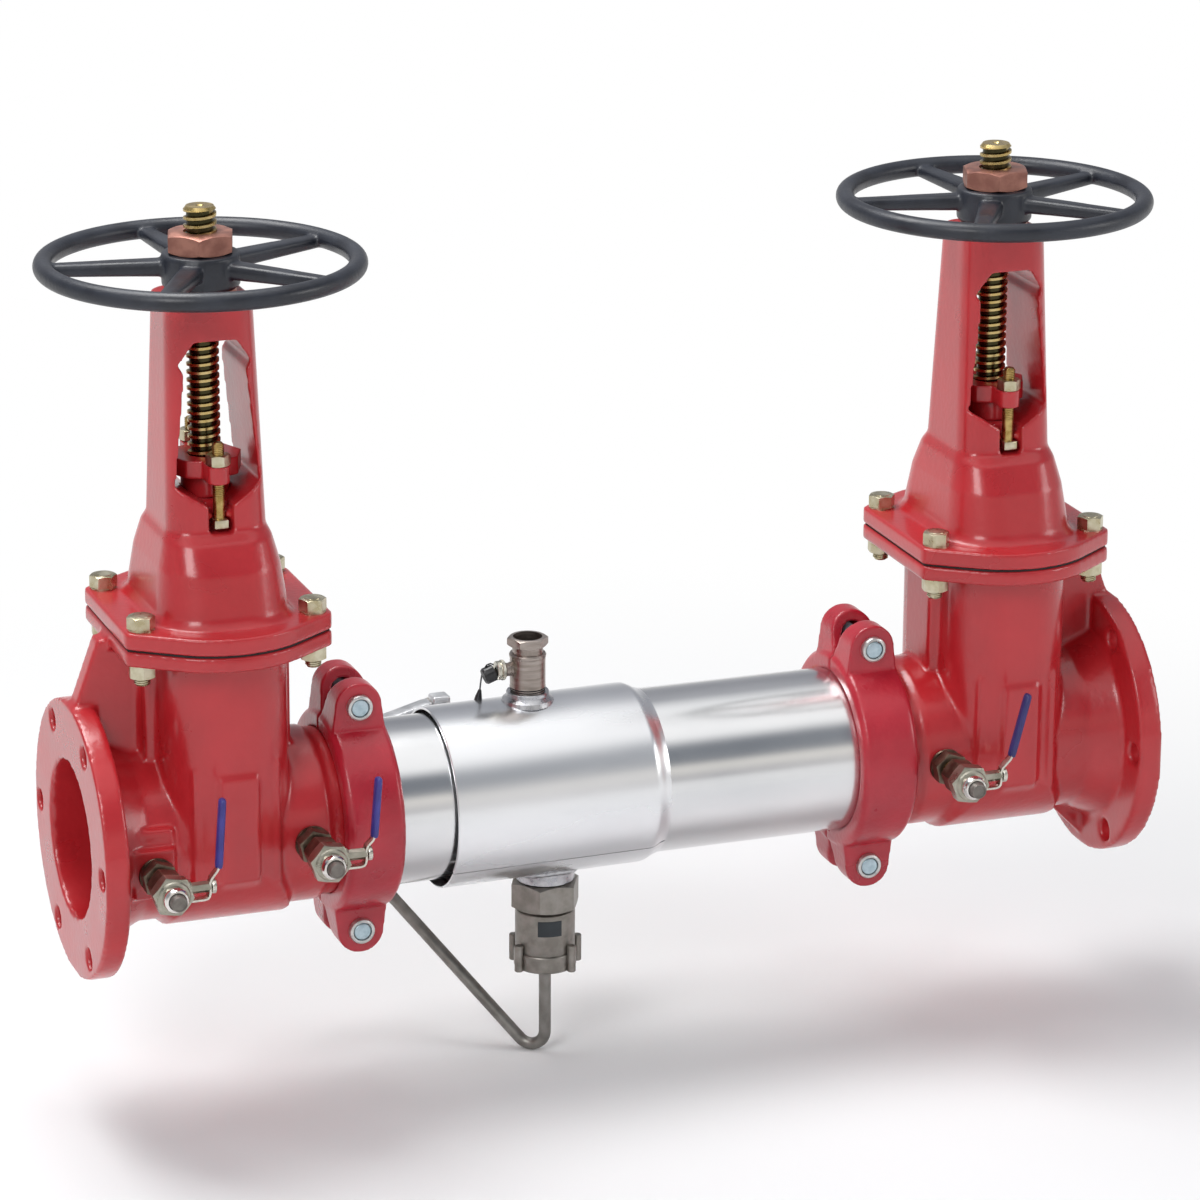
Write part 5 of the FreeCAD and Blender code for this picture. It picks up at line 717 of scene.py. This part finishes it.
STRAP, STRAP_HALF, STOP, GRIP = 0.0024, 0.0045, 0.0135, 0.0058
GRIP_FORM = ((0, 0.82), (0.015, 0.94), (0.055, 1), (0.18, 1), (0.4, 1), (0.64, 1), (0.86, 1), (0.96, 0.96),
             (0.985, 0.8), (1, 0.5))
BENT = ((0.0085, 0.005, 0.018, 0.088), (0.008, 0.005, 0.016, 0.077), (0.011, 0.017, 0.019, 0.084))
for (number, x, face, height), (grip_out, lean, low, top) in zip(COCKS, BENT):
    y = -face - PIVOT
    strap_x, grip_x = x + REACH, x + REACH + grip_out
    bm = bmesh.new()
    ribbon(bm, [(strap_x - 0.022, height - STOP), (strap_x - 0.007, height - STOP),
                (strap_x - 0.003, height - STOP + 0.001), (strap_x - 0.001, height - STOP + 0.0035),
                (strap_x, height - 0.006), (strap_x, height + 0.0045), (strap_x + 0.001, height + 0.0075),
                (grip_x - 0.0015, height + low - 0.003), (grip_x, height + low),
                (grip_x + lean, height + top - 0.003)], STRAP, STRAP_HALF, y)
    nut = turned(bm, [(0, REACH + 0.0005), (0.0068, REACH + 0.0005), (0.0074, REACH + 0.0015),
                      (0.0074, REACH + 0.0042), (0.0062, REACH + 0.005), (0, REACH + 0.005)], 32)
    bmesh.ops.transform(bm, matrix=Matrix.Translation((x, y, height)) @ RIGHTWARD, verts=nut)
    show(f"strap_lever_{number}", repeated(bm), strap_steel, f"cock_lever_{number}", "lever_steel",
         f"test_cock_lever_{number}", sharp=40)
    bm = bmesh.new()
    path = [Vector((grip_x + lean * share, y, height + low + (top - low) * share)) for share, _ in GRIP_FORM]
    swept(bm, path, [GRIP * fullness for _, fullness in GRIP_FORM], 24, flat=0.66)
    show(f"dipped_grip_{number}", repeated(bm), dark_vinyl if number == 4 else vinyl, f"cock_lever_{number}",
         "grip_vinyl", f"test_cock_grip_{number}", sharp=50)

# Metered bypass: brass pipe behind the housing with two ball valves, a water meter and a small
# backflow body. Only the first lever shows from the front, above the housing: a thick plated bar
# is laid on it, with a block at its end.
pipe_brass = coat("pipe_brass", ((0.42, 0.29, 0.12), (0.56, 0.41, 0.19)), (0.28, 0.42), metallic=1.0, grain=50.0,
                  bump=0.0001, bump_grain=400.0)
finish_nodes(pipe_brass, "pipe_brass", "bypass_pipes", "bypass_valve_bodies", "bypass_meter", "bypass_backflow")
finish_nodes(black_plastic, "black_plastic", "bypass_register")
finish_nodes(strap_steel, "lever_steel", "bypass_inlet_lever", "bypass_outlet_lever")
grey_plated = coat("lever_plating", ((0.50, 0.51, 0.52), (0.66, 0.67, 0.68)), (0.35, 0.5), metallic=0.7, grain=60.0,
                   bump=0.0001, bump_grain=500.0)
BAR_Y, BAR, BAR_HALF = 0.147, 0.007, 0.009
BLOCK_SPOT, BLOCK, BLOCK_ROUND = (0.431, BAR_Y, 0.0475), (0.019, 0.019, 0.012), 0.0025
bm = bmesh.new()
ribbon(bm, [(0.352, 0.0345), (0.366, 0.0350), (0.374, 0.0370), (0.414, 0.0476), (0.4205, 0.0482)], BAR, BAR_HALF,
       BAR_Y)
block = bmesh.ops.create_cube(bm, size=1, matrix=Matrix.LocRotScale(BLOCK_SPOT, None, BLOCK))
bmesh.ops.bevel(bm, geom=[edge for edge in bm.edges if edge.verts[0] in block["verts"]], offset=BLOCK_ROUND,
                offset_type="OFFSET", segments=4, profile=0.5, material=-1, affect="EDGES")
show("bypass_lever_bar", repeated(bm), grey_plated, "bypass_lever_in", "lever_steel", sharp=40)

# Studio: a pale floor that turns to white away from the assembly, soft lamps from the upper left,
# above and the right, and round about a room in bands of white and grey for metal to show.
FLOOR_HALF, FLOOR_GAP, NEAR_FADE, FAR_FADE = 12.0, 0.0005, 0.6, 1.7
MIDDLE = (LENGTH / 2, 0, 0)


def studio_white(nodes, links):
    """1 for rays from the camera, and for those that metal or glass send on."""
    path = nodes.new("ShaderNodeLightPath")
    seen = nodes.new("ShaderNodeMath")
    seen.operation = "MAXIMUM"
    shown = nodes.new("ShaderNodeMath")
    shown.operation = "MAXIMUM"
    links.new(path.outputs["Is Camera Ray"], seen.inputs[0])
    links.new(path.outputs["Is Glossy Ray"], seen.inputs[1])
    links.new(seen.outputs[0], shown.inputs[0])
    links.new(path.outputs["Is Transmission Ray"], shown.inputs[1])
    return shown.outputs[0]


def by_height(nodes, links, height, stops):
    """A tone for each height of a ray, from its lowest to its highest."""
    level = nodes.new("ShaderNodeMapRange")
    level.inputs["From Min"].default_value = -1
    links.new(height, level.inputs[0])
    ramp = nodes.new("ShaderNodeValToRGB")
    ramp.color_ramp.interpolation = "EASE"
    while len(ramp.color_ramp.elements) < len(stops):
        ramp.color_ramp.elements.new(0.5)
    for element, (position, tone) in zip(ramp.color_ramp.elements, stops):
        element.position = (position + 1) / 2
        element.color = (*tone, 1)
    links.new(level.outputs[0], ramp.inputs[0])
    return ramp.outputs[0]


def mixed_tone(nodes, links, share, low, high):
    """A tone between two others, by a share."""
    mix = nodes.new("ShaderNodeMix")
    mix.data_type = "RGBA"
    for source, socket in ((share, mix.inputs[0]), (low, mix.inputs[6]), (high, mix.inputs[7])):
        if isinstance(source, tuple):
            socket.default_value = source
        else:
            links.new(source, socket)
    return mix.outputs[2]


world = bpy.data.worlds.new("studio")
bpy.context.scene.world = world
world.use_nodes = True
nodes, links = world.node_tree.nodes, world.node_tree.links
backdrop = nodes["Background"]
backdrop.inputs["Strength"].default_value = 1
way = nodes.new("ShaderNodeTexCoord")
split = nodes.new("ShaderNodeSeparateXYZ")
links.new(way.outputs["Generated"], split.inputs[0])
in_front = nodes.new("ShaderNodeMapRange")
in_front.inputs["From Min"].default_value, in_front.inputs["From Max"].default_value = 0.25, -0.2
links.new(split.outputs["Y"], in_front.inputs[0])
room = mixed_tone(
    nodes, links, in_front.outputs[0],
    by_height(nodes, links, split.outputs["Z"], [
        (-0.2, (0.7, 0.7, 0.7)), (0.4, (0.34, 0.35, 0.38)), (0.7, (0.42, 0.43, 0.46)), (0.93, (1.2, 1.2, 1.2))]),
    by_height(nodes, links, split.outputs["Z"], [
        (-0.3, (0.34, 0.35, 0.38)), (0.04, (0.60, 0.59, 0.60)), (0.26, (0.95, 0.92, 0.87)),
        (0.42, (0.24, 0.26, 0.29)), (0.66, (0.20, 0.22, 0.25)), (0.84, (1.2, 1.2, 1.2))]))
path = nodes.new("ShaderNodeLightPath")
soft = mixed_tone(nodes, links, path.outputs["Is Glossy Ray"], (0.36, 0.37, 0.39, 1), room)
clear = nodes.new("ShaderNodeMath")
clear.operation = "MAXIMUM"
links.new(path.outputs["Is Camera Ray"], clear.inputs[0])
links.new(path.outputs["Is Transmission Ray"], clear.inputs[1])
links.new(mixed_tone(nodes, links, clear.outputs[0], soft, (1, 1, 1, 1)), backdrop.inputs["Color"])

floor_paper = bpy.data.materials.new("floor_paper")
floor_paper.use_nodes = True
nodes, links = floor_paper.node_tree.nodes, floor_paper.node_tree.links
paper = nodes["Principled BSDF"]
paper.inputs["Base Color"].default_value = (0.9, 0.9, 0.9, 1)
paper.inputs["Roughness"].default_value = 0.9
paper.inputs["Specular IOR Level"].default_value = 0.1
where = nodes.new("ShaderNodeTexCoord")
away = nodes.new("ShaderNodeVectorMath")
away.operation = "DISTANCE"
away.inputs[1].default_value = MIDDLE
flat = nodes.new("ShaderNodeVectorMath")
flat.operation = "MULTIPLY"
flat.inputs[1].default_value = (1, 1, 0)
fade = nodes.new("ShaderNodeMapRange")
fade.interpolation_type = "SMOOTHSTEP"
fade.inputs["From Min"].default_value = NEAR_FADE
fade.inputs["From Max"].default_value = FAR_FADE
links.new(where.outputs["Object"], flat.inputs[0])
links.new(flat.outputs[0], away.inputs[0])
links.new(away.outputs["Value"], fade.inputs[0])
share = nodes.new("ShaderNodeMath")
share.operation = "MULTIPLY"
links.new(fade.outputs[0], share.inputs[0])
links.new(studio_white(nodes, links), share.inputs[1])
white = nodes.new("ShaderNodeEmission")
white.inputs["Strength"].default_value = 1
mixed = nodes.new("ShaderNodeMixShader")
links.new(share.outputs[0], mixed.inputs[0])
links.new(paper.outputs[0], mixed.inputs[1])
links.new(white.outputs[0], mixed.inputs[2])
links.new(mixed.outputs[0], nodes["Material Output"].inputs["Surface"])

bm = bmesh.new()
bmesh.ops.create_grid(bm, x_segments=1, y_segments=1, size=FLOOR_HALF)
bmesh.ops.translate(bm, verts=bm.verts, vec=(MIDDLE[0], 0, cad_bounds[0].z - FLOOR_GAP))
floor_mesh = bpy.data.meshes.new("floor")
bm.to_mesh(floor_mesh)
bm.free()
floor_mesh.materials.append(floor_paper)
floor = bpy.data.objects.new("floor", floor_mesh)
bpy.context.scene.collection.objects.link(floor)

TARGET = Vector((MIDDLE[0], 0, 0.15))
for name, spot, power, size in (("key_lamp", (-1.9, -2.4, 2.6), 50, 1.4), ("top_lamp", (-0.2, 0.9, 3.2), 90, 1.8),
                                ("side_lamp", (3.4, -1.8, 1.4), 20, 1.2)):
    lamp = bpy.data.lights.new(name, "AREA")
    lamp.energy = power
    lamp.size = size
    holder = bpy.data.objects.new(name, lamp)
    holder.location = spot
    holder.rotation_euler = (TARGET - Vector(spot)).to_track_quat("-Z", "Y").to_euler()
    bpy.context.scene.collection.objects.link(holder)

# Camera: a long lens from the front left and a little above, as the photograph was taken.
lens = bpy.data.cameras.new("camera")
lens.lens = 152.53
lens.sensor_width = 36
lens.clip_end = 60
camera = bpy.data.objects.new("camera", lens)
camera.location = (-1.13305, -4.57075, 1.7575)
camera.rotation_mode = "QUATERNION"
YAW, PITCH, ROLL = -20.25, -17.86, 0.3
camera.rotation_quaternion = (Quaternion((0, 0, 1), math.radians(YAW))
                              @ Quaternion((1, 0, 0), math.radians(90 + PITCH))
                              @ Quaternion((0, 0, 1), math.radians(ROLL)))
bpy.context.scene.collection.objects.link(camera)
bpy.context.scene.camera = camera
bpy.context.scene.view_settings.view_transform = "Standard"
